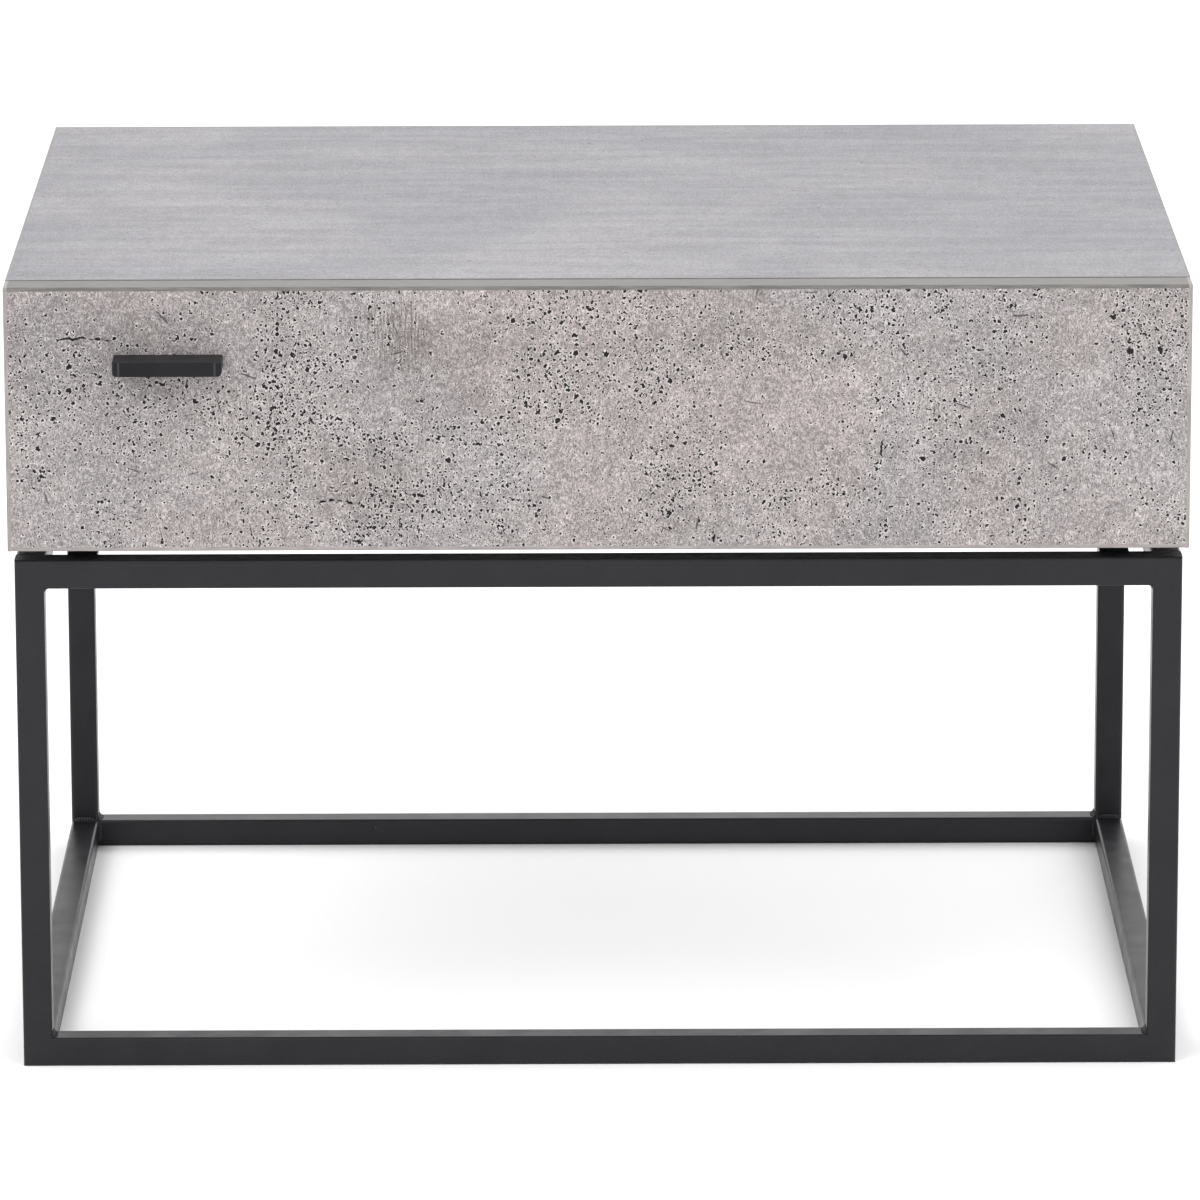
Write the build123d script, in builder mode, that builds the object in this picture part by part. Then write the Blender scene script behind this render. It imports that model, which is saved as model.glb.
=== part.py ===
"""Low side table with one full-width drawer.

A laminated box with a drawer stands on an open frame of square steel tube.
Millimetres, +Z up, the drawer opens towards -Y. The origin is on the floor,
in the middle of the table's whole outline, finger pull included.
"""

import os

from build123d import *

os.makedirs("parts", exist_ok=True)

# ---------------------------------------------------------------- overall sizes
TABLE_WIDTH = 600.0
TABLE_DEPTH = 450.0  # drawer front's face to the back of the case
TABLE_HEIGHT = 410.0
CASE_HEIGHT = 137.0  # top surface to the underside of the case

# ---------------------------------------------------------------- steel frame
TUBE = 15.0
TUBE_WALL = 1.2
TUBE_CORNER = 1.6  # outer corner radius of the drawn tube
FRAME_INSET = 3.0  # the case stands proud of the frame all round
TAB_WIDTH = 15.0
TAB_REACH = 27.0
TAB_THICKNESS = 3.0
TAB_FROM_END = 34.0  # tab's centre from the frame's outer side
TAB_HOLE_SET = 15.0  # tab's hole from the rail's inner face
TAB_NOSE = 4.0  # corner radius of the tab's free end

# ---------------------------------------------------------------- boards and bands
BOARD = 18.0
CASE_BAND = 1.0
FRONT_BAND = 2.0
FRONT_ARRIS = 0.8  # rounding of the drawer front's bands
BAND_JOINT = 0.05  # trimmed end of one band to the face of the next
FRONT_GAP = 2.0  # case front edge to the back of the drawer front
FRONT_LIFT = 0.5  # drawer front's lower edge above the underside of the case
BUMPER_R = 4.0
BUMPER_THICKNESS = 1.7
BUMPER_ARRIS = 0.55
BUMPER_FROM_END = 22.0

# ---------------------------------------------------------------- drawer box
DRAWER_BOARD = 12.0
DRAWER_FLOOR_GAP = 12.0  # bottom panel to the drawer sides
DRAWER_TOP_GAP = 14.0  # drawer sides to the top panel
DRAWER_BACK_GAP = 34.0  # drawer back to the back panel
DRAWER_BOTTOM = 3.0
GROOVE_RAISE = 10.0  # groove above the lower edge of the drawer sides
GROOVE_DEPTH = 5.0
FRONT_GROOVE_DEPTH = 4.0
GROOVE_PLAY = 0.5  # bottom's edges to the floor of the groove
GROOVE_SLACK = 0.2  # groove height over the bottom's thickness

# ---------------------------------------------------------------- ball-bearing slides
SLIDE_STEP = 50.0  # slides come in lengths of this step
SLIDE_ENGAGED = 100.0  # length still engaged when the drawer is fully open
SLIDE_SHEET = 1.2
SLIDE_SET_BACK = 3.0  # outer member behind the case's front edge
BALL_R = 2.3
BALL_PLAY = 0.2  # ball to raceway
RACE_SPREAD = 13.2  # ball rows above and below the slide's centre line
BALL_COUNT = 9
BALL_FROM_END = 7.0  # last ball from the end of the cage
CAGE_SHEET = 0.7
CAGE_PLAY = 0.375  # cage to the members on both sides of it
CAGE_LIFT = 0.2  # cage flange outside the ball centres
CAGE_STOP = 5.0  # cage's end to the end of the engaged length

# ---------------------------------------------------------------- fittings
FIT = 0.05  # radial play of a fitting in its bore
CAM_SET = 24.0  # cam's centre from the board's edge
CAM_R = 7.5
CAM_OVER_CENTRE = 3.5  # cam's depth past the middle of the board
SMALL_CAM_R = 6.0
SMALL_CAM_OVER_CENTRE = 3.0
CAM_BOLT_R = 3.0
CAM_BOLT_HEAD_R = 3.6
CAM_BOLT_HEAD = 2.4
CAM_BOLT_NECK_R = 2.0
CAM_BOLT_NECK = 4.0
CAM_THREAD_R = 2.5
CAM_THREAD = 11.0
CAM_SLOT_PLAY = 0.6
CAM_CROSS = (8.0, 1.4, 1.6)  # length, width and depth of the drive cross
DOWEL_R = 4.0
DOWEL_IN_EDGE = 20.0
DOWEL_IN_FACE = 10.0
SMALL_DOWEL_R = 3.0
SMALL_DOWEL_IN_EDGE = 16.0
DOWEL_CHAMFER = 0.8
DOWEL_END_PLAY = 0.5
JOINT_FROM_FRONT = 62.0  # first cam joint behind the case's front edge
DOWEL_SPREAD = 32.0  # dowels beside a cam
INSERT_TO_DOWEL = 10.0  # rear dowels ahead of the frame's inserts
BACK_DOWEL_SHARE = 2 / 3  # outer dowels of the back, from its middle to its ends
DRAWER_CAM_LIFT = 4.0  # drawer's cams above the slides' centre line
DRAWER_DOWEL_SHARE = 0.24  # dowels beside a drawer cam, as a share of the drawer's height
FRAME_BOLT_R = 3.0
FRAME_BOLT_HEAD_R = 5.25
FRAME_BOLT_HEAD = 3.3
FRAME_BOLT_ARRIS = 1.6
FRAME_BOLT_BITE = 12.0  # bolt inside the case's bottom panel
FRAME_BOLT_HOLE_R = 3.3
INSERT_R = 4.5
INSERT_LENGTH = 13.0
SPACER_R = 7.5
SPACER_THICKNESS = 5.0
HEX_KEY = 4.0  # across flats
HEX_DEPTH = 2.0
SLIDE_SCREW_R = 1.7
SLIDE_SCREW_HEAD_R = 3.2
SLIDE_SCREW_LENGTH = 13.0
DRAWER_SCREW_LENGTH = 10.5
BACK_SCREW_R = 2.0
BACK_SCREW_HEAD_R = 3.8
BACK_SCREW_LENGTH = 38.0
BACK_SCREW_RAISE = 9.0  # lower back screw above the drawer bottom
BACK_SCREW_DROP = 14.0  # upper back screw below the drawer's top edge
SLIDE_SCREW_SHARES = (0.1, 0.5, 0.9)  # along the slide
SCREW_RECESS_R = 1.3
SCREW_RECESS_DEPTH = 1.0

# ---------------------------------------------------------------- finger pull
PULL_WIDTH = 55.0
PULL_REACH = 20.0
PULL_HEIGHT = 7.6
PULL_WALL = 2.2
PULL_CORNER = 3.0  # vertical front corners
PULL_LOWER_ARRIS = 1.6  # lower rim of the shell
PULL_ARRIS = 0.6
PULL_FROM_SIDE = 83.0  # pull's centre from the left side of the drawer front
PULL_DROP = 34.6  # pull's top below the table top
PULL_SCREW_SPACING = 32.0
PULL_BOSS_SET = 0.3  # boss above the lower rim
PULL_BOSS_LENGTH = 10.0
PULL_SCREW_R = 2.0
PULL_SCREW_BITE = 8.0
PULL_SCREW_HEAD_R = 4.0
PULL_SCREW_HEAD = 2.4
PULL_SCREW_ARRIS = 0.8
PULL_SCREW_HOLE_R = 2.3

# ---------------------------------------------------------------- places worked out
HALF_WIDTH = TABLE_WIDTH / 2
FACE_Y = -(TABLE_DEPTH - PULL_REACH) / 2
REAR_Y = FACE_Y + TABLE_DEPTH
FRONT_REAR_Y = FACE_Y + BOARD
CASE_FRONT_Y = FRONT_REAR_Y + FRONT_GAP
CASE_Z = TABLE_HEIGHT - CASE_HEIGHT
CASE_CEILING_Z = TABLE_HEIGHT - BOARD
CASE_FLOOR_Z = CASE_Z + BOARD
SIDE_INNER_X = HALF_WIDTH - BOARD
BACK_INNER_Y = REAR_Y - BOARD

FRAME_HALF_WIDTH = HALF_WIDTH - FRAME_INSET
FRAME_FRONT_Y = FACE_Y + FRAME_INSET
FRAME_REAR_Y = REAR_Y - FRAME_INSET
FRAME_HEIGHT = CASE_Z - SPACER_THICKNESS

RACE_R = BALL_R + BALL_PLAY
RACE_X = 2 * SLIDE_SHEET + CAGE_SHEET + 2 * CAGE_PLAY + RACE_R  # case wall to the ball centres
SLIDE_THICKNESS = 2 * RACE_X  # case wall to drawer side
DRAWER_SIDE_X = SIDE_INNER_X - SLIDE_THICKNESS
DRAWER_INNER_X = DRAWER_SIDE_X - DRAWER_BOARD
DRAWER_Z = CASE_FLOOR_Z + DRAWER_FLOOR_GAP
DRAWER_TOP_Z = CASE_CEILING_Z - DRAWER_TOP_GAP
DRAWER_HEIGHT = DRAWER_TOP_Z - DRAWER_Z
DRAWER_REAR_Y = BACK_INNER_Y - DRAWER_BACK_GAP
GROOVE_Z = DRAWER_Z + GROOVE_RAISE
SLIDE_Z = DRAWER_Z + DRAWER_HEIGHT / 2
SLIDE_FRONT_Y = CASE_FRONT_Y + SLIDE_SET_BACK
SLIDE_LENGTH = SLIDE_STEP * ((DRAWER_REAR_Y - SLIDE_FRONT_Y) // SLIDE_STEP)
SLIDE_REAR_Y = SLIDE_FRONT_Y + SLIDE_LENGTH
CAGE_LENGTH = SLIDE_ENGAGED - 2 * CAGE_STOP
CAGE_FRONT_Y = SLIDE_FRONT_Y + (SLIDE_LENGTH - CAGE_LENGTH) / 2

PULL_X = -HALF_WIDTH + PULL_FROM_SIDE
PULL_TOP_Z = TABLE_HEIGHT - PULL_DROP

SIDES = {"left": -1, "right": 1}


def finish(builder, name):
    """Label a finished piece and write it to its own file."""
    builder.part.label = name
    export_step(builder.part, f"parts/{name}.step")


def span_box(low, high, mode=Mode.ADD):
    """Box between two corners, added to the part that is being built."""
    middle = [(a + b) / 2 for a, b in zip(low, high)]
    sizes = [b - a for a, b in zip(low, high)]
    with Locations(tuple(middle)):
        Box(*sizes, mode=mode)


# ================================================================ steel frame
def make_tube(name, start, length, mitres=()):
    """Hollow square tube from a start plane, cut at each mitre plane."""
    with BuildPart() as tube:
        with BuildSketch(start):
            RectangleRounded(TUBE, TUBE, TUBE_CORNER)
            bore = TUBE - 2 * TUBE_WALL
            RectangleRounded(bore, bore, TUBE_CORNER - TUBE_WALL, mode=Mode.SUBTRACT)
        extrude(amount=length)
        for mitre in mitres:
            split(bisect_by=mitre, keep=Keep.TOP)
    finish(tube, name)


def mitre_plane(side, level, y, along_rail):
    """45 degree plane through an outer corner of a frame rectangle."""
    height = FRAME_HEIGHT if level > 0 else 0
    facing = (-side, 0, level) if along_rail else (side, 0, -level)
    return Plane(origin=(side * FRAME_HALF_WIDTH, y, height), z_dir=facing)


FRAME_ROWS = {"front": FRAME_FRONT_Y + TUBE / 2, "rear": FRAME_REAR_Y - TUBE / 2}
RAIL_LEVELS = {"base": (-1, TUBE / 2), "top": (1, FRAME_HEIGHT - TUBE / 2)}

for row, row_y in FRAME_ROWS.items():
    for side, sign in SIDES.items():
        leg_start = Plane(
            origin=(sign * (FRAME_HALF_WIDTH - TUBE / 2), row_y, 0), x_dir=(1, 0, 0), z_dir=(0, 0, 1)
        )
        cuts = [mitre_plane(sign, level, row_y, False) for level in (-1, 1)]
        make_tube(f"leg_{row}_{side}", leg_start, FRAME_HEIGHT, cuts)
    for level_name, (level, rail_z) in RAIL_LEVELS.items():
        rail_start = Plane(
            origin=(-FRAME_HALF_WIDTH, row_y, rail_z), x_dir=(0, 1, 0), z_dir=(1, 0, 0)
        )
        cuts = [mitre_plane(sign, level, row_y, True) for sign in SIDES.values()]
        make_tube(f"{level_name}_rail_{row}", rail_start, 2 * FRAME_HALF_WIDTH, cuts)

for side, sign in SIDES.items():
    for level_name, (level, rail_z) in RAIL_LEVELS.items():
        rail_start = Plane(
            origin=(sign * (FRAME_HALF_WIDTH - TUBE / 2), FRAME_FRONT_Y + TUBE, rail_z),
            x_dir=(1, 0, 0),
            z_dir=(0, 1, 0),
        )
        make_tube(f"{level_name}_rail_{side}", rail_start, FRAME_REAR_Y - FRAME_FRONT_Y - 2 * TUBE)

# Tabs behind the top rails: each local plane has its origin on the rail's inner
# face at the top of the frame, and its y direction into the table.
TAB_X = FRAME_HALF_WIDTH - TAB_FROM_END
TAB_PLANES = []
for sign in SIDES.values():
    TAB_PLANES.append(Plane(origin=(sign * TAB_X, FRAME_FRONT_Y + TUBE, FRAME_HEIGHT)))
    TAB_PLANES.append(
        Plane(origin=(sign * TAB_X, FRAME_REAR_Y - TUBE, FRAME_HEIGHT), x_dir=(-1, 0, 0), z_dir=(0, 0, 1))
    )

with BuildPart() as tab:
    with BuildSketch():
        with Locations((0, TAB_REACH / 2)):
            Rectangle(TAB_WIDTH, TAB_REACH)
        fillet(vertices().group_by(Axis.Y)[-1], TAB_NOSE)
        with Locations((0, TAB_HOLE_SET)):
            Circle(FRAME_BOLT_HOLE_R, mode=Mode.SUBTRACT)
    extrude(amount=-TAB_THICKNESS)

with BuildPart() as frame_tabs:
    with Locations(*TAB_PLANES):
        add(tab.part)
finish(frame_tabs, "frame_tabs")

with BuildPart() as spacer:
    with BuildSketch():
        with Locations((0, TAB_HOLE_SET)):
            Circle(SPACER_R)
            Circle(FRAME_BOLT_HOLE_R, mode=Mode.SUBTRACT)
    extrude(amount=SPACER_THICKNESS)

with BuildPart() as frame_spacers:
    with Locations(*TAB_PLANES):
        add(spacer.part)
finish(frame_spacers, "frame_spacers")

with BuildPart() as frame_bolt:
    with BuildSketch(Plane.XY.offset(-TAB_THICKNESS)):
        with Locations((0, TAB_HOLE_SET)):
            Circle(FRAME_BOLT_R)
    extrude(amount=TAB_THICKNESS + SPACER_THICKNESS + FRAME_BOLT_BITE)
    with BuildSketch(Plane.XY.offset(-TAB_THICKNESS)):
        with Locations((0, TAB_HOLE_SET)):
            Circle(FRAME_BOLT_HEAD_R)
    extrude(amount=-FRAME_BOLT_HEAD)
    fillet(frame_bolt.edges().group_by(Axis.Z)[0], FRAME_BOLT_ARRIS)
    with BuildSketch(Plane.XY.offset(-TAB_THICKNESS - FRAME_BOLT_HEAD)):
        with Locations((0, TAB_HOLE_SET)):
            RegularPolygon(HEX_KEY / 2, 6, major_radius=False)
    extrude(amount=HEX_DEPTH, mode=Mode.SUBTRACT)

with BuildPart() as frame_bolts:
    with Locations(*TAB_PLANES):
        add(frame_bolt.part)
finish(frame_bolts, "frame_bolts")

with BuildPart() as insert:
    with BuildSketch(Plane.XY.offset(SPACER_THICKNESS)):
        with Locations((0, TAB_HOLE_SET)):
            Circle(INSERT_R)
            Circle(FRAME_BOLT_R + FIT, mode=Mode.SUBTRACT)
    extrude(amount=INSERT_LENGTH)

with BuildPart() as frame_inserts:
    with Locations(*TAB_PLANES):
        add(insert.part)
finish(frame_inserts, "frame_inserts")

with BuildPart() as insert_bore:
    with BuildSketch(Plane.XY.offset(SPACER_THICKNESS)):
        with Locations((0, TAB_HOLE_SET)):
            Circle(INSERT_R + FIT)
    extrude(amount=INSERT_LENGTH)


# ================================================================ joint fittings
# A joint's local plane has its origin where the two boards meet, in the middle
# of the edge board, z into that board and x out of the face that takes the cam.
def make_cam_bolt(cam_set):
    """Bolt with its thread in the face board and its head in the cam."""
    head_start = cam_set - CAM_BOLT_HEAD / 2
    neck_start = head_start - CAM_BOLT_NECK
    with BuildPart() as bolt:
        for radius, low, high in (
            (CAM_THREAD_R, -CAM_THREAD, 0),
            (CAM_BOLT_R, 0, neck_start),
            (CAM_BOLT_NECK_R, neck_start, head_start),
            (CAM_BOLT_HEAD_R - CAM_SLOT_PLAY, head_start, head_start + CAM_BOLT_HEAD),
        ):
            with BuildSketch(Plane.XY.offset(low)):
                Circle(radius)
            extrude(amount=high - low)
    return bolt.part


def make_cam(radius, board, over_centre, cam_set):
    """Cam housing with the cavity for the bolt's head and a cross on its face."""
    depth = board / 2 + over_centre
    mouth = Plane(origin=(board / 2, 0, cam_set), x_dir=(0, 1, 0), z_dir=(1, 0, 0))
    with BuildPart() as cam:
        with BuildSketch(mouth):
            Circle(radius)
        extrude(amount=-depth)
        with BuildSketch(Plane.XY.offset(cam_set - radius)):
            Circle(CAM_BOLT_HEAD_R)
        extrude(amount=radius + CAM_BOLT_HEAD_R, mode=Mode.SUBTRACT)
        length, width, cross_depth = CAM_CROSS
        with BuildSketch(mouth):
            Rectangle(length, width)
            Rectangle(width, length)
        extrude(amount=-cross_depth, mode=Mode.SUBTRACT)
    return cam.part


def make_edge_bores(radius, board, over_centre, cam_set):
    """What a cam joint cuts out of the edge board."""
    depth = board / 2 + over_centre
    mouth = Plane(origin=(board / 2, 0, cam_set), x_dir=(0, 1, 0), z_dir=(1, 0, 0))
    with BuildPart() as bores:
        with BuildSketch(mouth):
            Circle(radius + FIT)
        extrude(amount=-depth)
        with BuildSketch():
            Circle(CAM_BOLT_HEAD_R)
        extrude(amount=cam_set)
    return bores.part


with BuildPart() as face_bore:
    with BuildSketch():
        Circle(CAM_THREAD_R + FIT)
    extrude(amount=-(CAM_THREAD + DOWEL_END_PLAY))


def make_dowel(radius, in_edge, play=0.0):
    """Round dowel, or the bore for one when it is given play."""
    with BuildPart() as dowel:
        with BuildSketch(Plane.XY.offset(-DOWEL_IN_FACE - play * DOWEL_END_PLAY / FIT)):
            Circle(radius - FIT + play)
        extrude(amount=DOWEL_IN_FACE + in_edge + 2 * play * DOWEL_END_PLAY / FIT)
        if play == 0:
            chamfer(dowel.edges().filter_by(GeomType.CIRCLE), DOWEL_CHAMFER)
    return dowel.part


CAM_BOLT = make_cam_bolt(CAM_SET)
CAM = make_cam(CAM_R, BOARD, CAM_OVER_CENTRE, CAM_SET)
EDGE_BORES = make_edge_bores(CAM_R, BOARD, CAM_OVER_CENTRE, CAM_SET)
DOWEL = make_dowel(DOWEL_R, DOWEL_IN_EDGE)
DOWEL_BORE = make_dowel(DOWEL_R, DOWEL_IN_EDGE, FIT)
SMALL_CAM = make_cam(SMALL_CAM_R, DRAWER_BOARD, SMALL_CAM_OVER_CENTRE, CAM_SET)
SMALL_EDGE_BORES = make_edge_bores(SMALL_CAM_R, DRAWER_BOARD, SMALL_CAM_OVER_CENTRE, CAM_SET)
SMALL_DOWEL = make_dowel(SMALL_DOWEL_R, SMALL_DOWEL_IN_EDGE)
SMALL_DOWEL_BORE = make_dowel(SMALL_DOWEL_R, SMALL_DOWEL_IN_EDGE, FIT)

# The rear joints keep clear of the inserts that the frame is bolted to.
REAR_INSERT_Y = FRAME_REAR_Y - TUBE - TAB_HOLE_SET
JOINT_YS = (CASE_FRONT_Y + JOINT_FROM_FRONT, REAR_INSERT_Y - INSERT_TO_DOWEL - DOWEL_SPREAD)
BACK_DOWEL_X = SIDE_INNER_X * BACK_DOWEL_SHARE
BOTTOM_MID_Z = CASE_Z + BOARD / 2
BACK_MID_Y = REAR_Y - BOARD / 2
SIDE_MID_X = HALF_WIDTH - BOARD / 2
BACK_MID_Z = (CASE_Z + CASE_CEILING_Z) / 2


def joint_plane(origin, into, out):
    """Local plane of one joint between two boards."""
    return Plane(origin=origin, x_dir=out, z_dir=into)


def case_joints(kind):
    """Planes of one kind of fitting, by the two boards that it joins."""
    offsets = (0,) if kind == "cam" else (-DOWEL_SPREAD, DOWEL_SPREAD)
    planes = {}
    for side, sign in SIDES.items():
        places = [y + step for y in JOINT_YS for step in offsets]
        planes["top", side] = [
            joint_plane((sign * SIDE_MID_X, y, CASE_CEILING_Z), (0, 0, -1), (-sign, 0, 0)) for y in places
        ]
        planes["bottom", side] = [
            joint_plane((sign * SIDE_INNER_X, y, BOTTOM_MID_Z), (-sign, 0, 0), (0, 0, -1)) for y in places
        ]
        planes["back", side] = [
            joint_plane((sign * SIDE_INNER_X, BACK_MID_Y, BACK_MID_Z + step), (-sign, 0, 0), (0, -1, 0))
            for step in offsets
        ]
    if kind == "dowel":
        across = (-BACK_DOWEL_X, 0, BACK_DOWEL_X)
        planes["bottom", "back"] = [
            joint_plane((x, BACK_INNER_Y, BOTTOM_MID_Z), (0, -1, 0), (0, 0, -1)) for x in across
        ]
        planes["top", "back"] = [
            joint_plane((x, BACK_MID_Y, CASE_CEILING_Z), (0, 0, -1), (0, -1, 0)) for x in across
        ]
    return planes


CASE_CAMS = case_joints("cam")
CASE_DOWELS = case_joints("dowel")


def planes_of(joints, *boards):
    """Every plane of the joints that touch all the boards named."""
    return [plane for pair, planes in joints.items() if set(boards) <= set(pair) for plane in planes]


def cut(cutter, planes):
    """Cut a copy of one solid out of the part at each plane."""
    with Locations(*planes):
        add(cutter, mode=Mode.SUBTRACT)


# ================================================================ case
# Top panel, banded on all four edges. Its cams sit in the side panels.
with BuildPart() as top_panel:
    span_box(
        (-HALF_WIDTH + CASE_BAND, CASE_FRONT_Y + CASE_BAND, CASE_CEILING_Z),
        (HALF_WIDTH - CASE_BAND, REAR_Y - CASE_BAND, TABLE_HEIGHT),
    )
    cut(face_bore.part, planes_of(CASE_CAMS, "top"))
    cut(DOWEL_BORE, planes_of(CASE_DOWELS, "top"))
finish(top_panel, "top_panel")

with BuildPart() as top_panel_bands:
    for sign in SIDES.values():
        inner, outer = sorted((sign * (HALF_WIDTH - CASE_BAND), sign * HALF_WIDTH))
        span_box((inner, CASE_FRONT_Y, CASE_CEILING_Z), (outer, REAR_Y, TABLE_HEIGHT))
    reach = HALF_WIDTH - CASE_BAND - BAND_JOINT
    for low, high in ((CASE_FRONT_Y, CASE_FRONT_Y + CASE_BAND), (REAR_Y - CASE_BAND, REAR_Y)):
        span_box((-reach, low, CASE_CEILING_Z), (reach, high, TABLE_HEIGHT))
finish(top_panel_bands, "top_panel_bands")


# Slide screws: local z runs from the slide's sheet into the board.
def make_flat_screw(head_r, shank_r, length, play=0.0):
    """Countersunk screw with its head's face on z = 0, or its bore."""
    head = head_r - shank_r
    with BuildPart() as screw:
        with BuildSketch():
            Circle(head_r + play)
        extrude(amount=head, taper=45)
        with BuildSketch():
            Circle(shank_r + play)
        extrude(amount=length + play)
        if play == 0:
            with BuildSketch():
                Circle(SCREW_RECESS_R)
            extrude(amount=SCREW_RECESS_DEPTH, mode=Mode.SUBTRACT)
    return screw.part


SLIDE_SCREW = make_flat_screw(SLIDE_SCREW_HEAD_R, SLIDE_SCREW_R, SLIDE_SCREW_LENGTH)
SLIDE_SCREW_BORE = make_flat_screw(SLIDE_SCREW_HEAD_R, SLIDE_SCREW_R, SLIDE_SCREW_LENGTH, FIT)
DRAWER_SCREW = make_flat_screw(SLIDE_SCREW_HEAD_R, SLIDE_SCREW_R, DRAWER_SCREW_LENGTH)
DRAWER_SCREW_BORE = make_flat_screw(SLIDE_SCREW_HEAD_R, SLIDE_SCREW_R, DRAWER_SCREW_LENGTH, FIT)
SLIDE_SCREW_YS = [SLIDE_FRONT_Y + SLIDE_LENGTH * share for share in SLIDE_SCREW_SHARES]


def outer_screw_planes(sign):
    """Where the outer member is screwed to the case side."""
    x = sign * (SIDE_INNER_X - SLIDE_SHEET)
    return [Plane(origin=(x, y, SLIDE_Z), x_dir=(0, 1, 0), z_dir=(sign, 0, 0)) for y in SLIDE_SCREW_YS]


def inner_screw_planes(sign):
    """Where the inner member is screwed to the drawer side."""
    x = sign * (DRAWER_SIDE_X + SLIDE_SHEET)
    return [Plane(origin=(x, y, SLIDE_Z), x_dir=(0, 1, 0), z_dir=(-sign, 0, 0)) for y in SLIDE_SCREW_YS]


for side, sign in SIDES.items():
    inner, outer = sorted((sign * SIDE_INNER_X, sign * HALF_WIDTH))
    with BuildPart() as side_panel:
        span_box(
            (inner, CASE_FRONT_Y + CASE_BAND, CASE_Z + CASE_BAND), (outer, REAR_Y - CASE_BAND, CASE_CEILING_Z)
        )
        cut(EDGE_BORES, CASE_CAMS["top", side])
        cut(DOWEL_BORE, planes_of(CASE_DOWELS, side))
        cut(face_bore.part, CASE_CAMS["bottom", side] + CASE_CAMS["back", side])
        cut(SLIDE_SCREW_BORE, outer_screw_planes(sign))
    finish(side_panel, f"side_panel_{side}")

with BuildPart() as side_panel_bands:
    for sign in SIDES.values():
        inner, outer = sorted((sign * SIDE_INNER_X, sign * HALF_WIDTH))
        span_box((inner, CASE_FRONT_Y, CASE_Z), (outer, CASE_FRONT_Y + CASE_BAND, CASE_CEILING_Z))
        span_box((inner, REAR_Y - CASE_BAND, CASE_Z), (outer, REAR_Y, CASE_CEILING_Z))
        span_box(
            (inner, CASE_FRONT_Y + CASE_BAND + BAND_JOINT, CASE_Z),
            (outer, REAR_Y - CASE_BAND - BAND_JOINT, CASE_Z + CASE_BAND),
        )
finish(side_panel_bands, "side_panel_bands")

with BuildPart() as bottom_panel:
    span_box(
        (-SIDE_INNER_X, CASE_FRONT_Y + CASE_BAND, CASE_Z), (SIDE_INNER_X, BACK_INNER_Y, CASE_FLOOR_Z)
    )
    cut(EDGE_BORES, planes_of(CASE_CAMS, "bottom"))
    cut(DOWEL_BORE, planes_of(CASE_DOWELS, "bottom"))
    cut(insert_bore.part, TAB_PLANES)
finish(bottom_panel, "bottom_panel")

with BuildPart() as bottom_panel_band:
    span_box((-SIDE_INNER_X, CASE_FRONT_Y, CASE_Z), (SIDE_INNER_X, CASE_FRONT_Y + CASE_BAND, CASE_FLOOR_Z))
finish(bottom_panel_band, "bottom_panel_band")

with BuildPart() as back_panel:
    span_box((-SIDE_INNER_X, BACK_INNER_Y, CASE_Z), (SIDE_INNER_X, REAR_Y, CASE_CEILING_Z))
    cut(EDGE_BORES, planes_of(CASE_CAMS, "back"))
    cut(DOWEL_BORE, planes_of(CASE_DOWELS, "back"))
finish(back_panel, "back_panel")


def make_group(name, solid, planes):
    """One node of identical fittings, a solid at each plane."""
    with BuildPart() as group:
        with Locations(*planes):
            add(solid)
    finish(group, name)


make_group("case_cams", CAM, planes_of(CASE_CAMS))
make_group("case_cam_bolts", CAM_BOLT, planes_of(CASE_CAMS))
make_group("case_dowels", DOWEL, planes_of(CASE_DOWELS))

with BuildPart() as bumper:
    with BuildSketch():
        Circle(BUMPER_R)
    extrude(amount=BUMPER_THICKNESS)
    chamfer(bumper.edges().group_by(Axis.Z)[-1], BUMPER_ARRIS)

BUMPER_PLANES = [
    Plane(origin=(sign * SIDE_MID_X, CASE_FRONT_Y, z), x_dir=(1, 0, 0), z_dir=(0, -1, 0))
    for sign in SIDES.values()
    for z in (CASE_Z + BUMPER_FROM_END, CASE_CEILING_Z - BUMPER_FROM_END)
]
make_group("front_bumpers", bumper.part, BUMPER_PLANES)


# ================================================================ slides
# A slide's section lies in a plane whose x runs from the case wall to the drawer
# and whose y is up. Each ball row has the outer member's flange outside it and
# the inner member's flange inside it.
def slide_plane(sign, y):
    """Section plane of the slide on one side, looking along the slide."""
    origin = (sign * SIDE_INNER_X, y, SLIDE_Z)
    return Plane(origin=origin, x_dir=(-sign, 0, 0), z_dir=(0, sign, 0))


def draw_flange(web_x, up, outside):
    """One flange of a slide member: a flat from the web and a curl round the balls."""
    race_y = up * RACE_SPREAD
    tip = up if outside else -up
    near = race_y + tip * RACE_R
    far = near + tip * SLIDE_SHEET
    with Locations(((web_x + RACE_X) / 2, (near + far) / 2)):
        Rectangle(abs(RACE_X - web_x), SLIDE_SHEET)
    reach = RACE_R + SLIDE_SHEET
    away = 1 if web_x < RACE_X else -1
    with BuildSketch(mode=Mode.PRIVATE) as curl:
        with Locations((RACE_X, race_y)):
            Circle(reach)
            Circle(RACE_R, mode=Mode.SUBTRACT)
        with Locations((RACE_X + away * reach / 2, race_y + tip * reach / 2)):
            Rectangle(reach, reach, mode=Mode.INTERSECT)
    add(curl.sketch)


def draw_outer_section():
    """Section of the outer member, open towards the drawer."""
    with Locations((SLIDE_SHEET / 2, 0)):
        Rectangle(SLIDE_SHEET, 2 * (RACE_SPREAD + RACE_R + SLIDE_SHEET))
    for up in (-1, 1):
        draw_flange(0, up, True)


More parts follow.
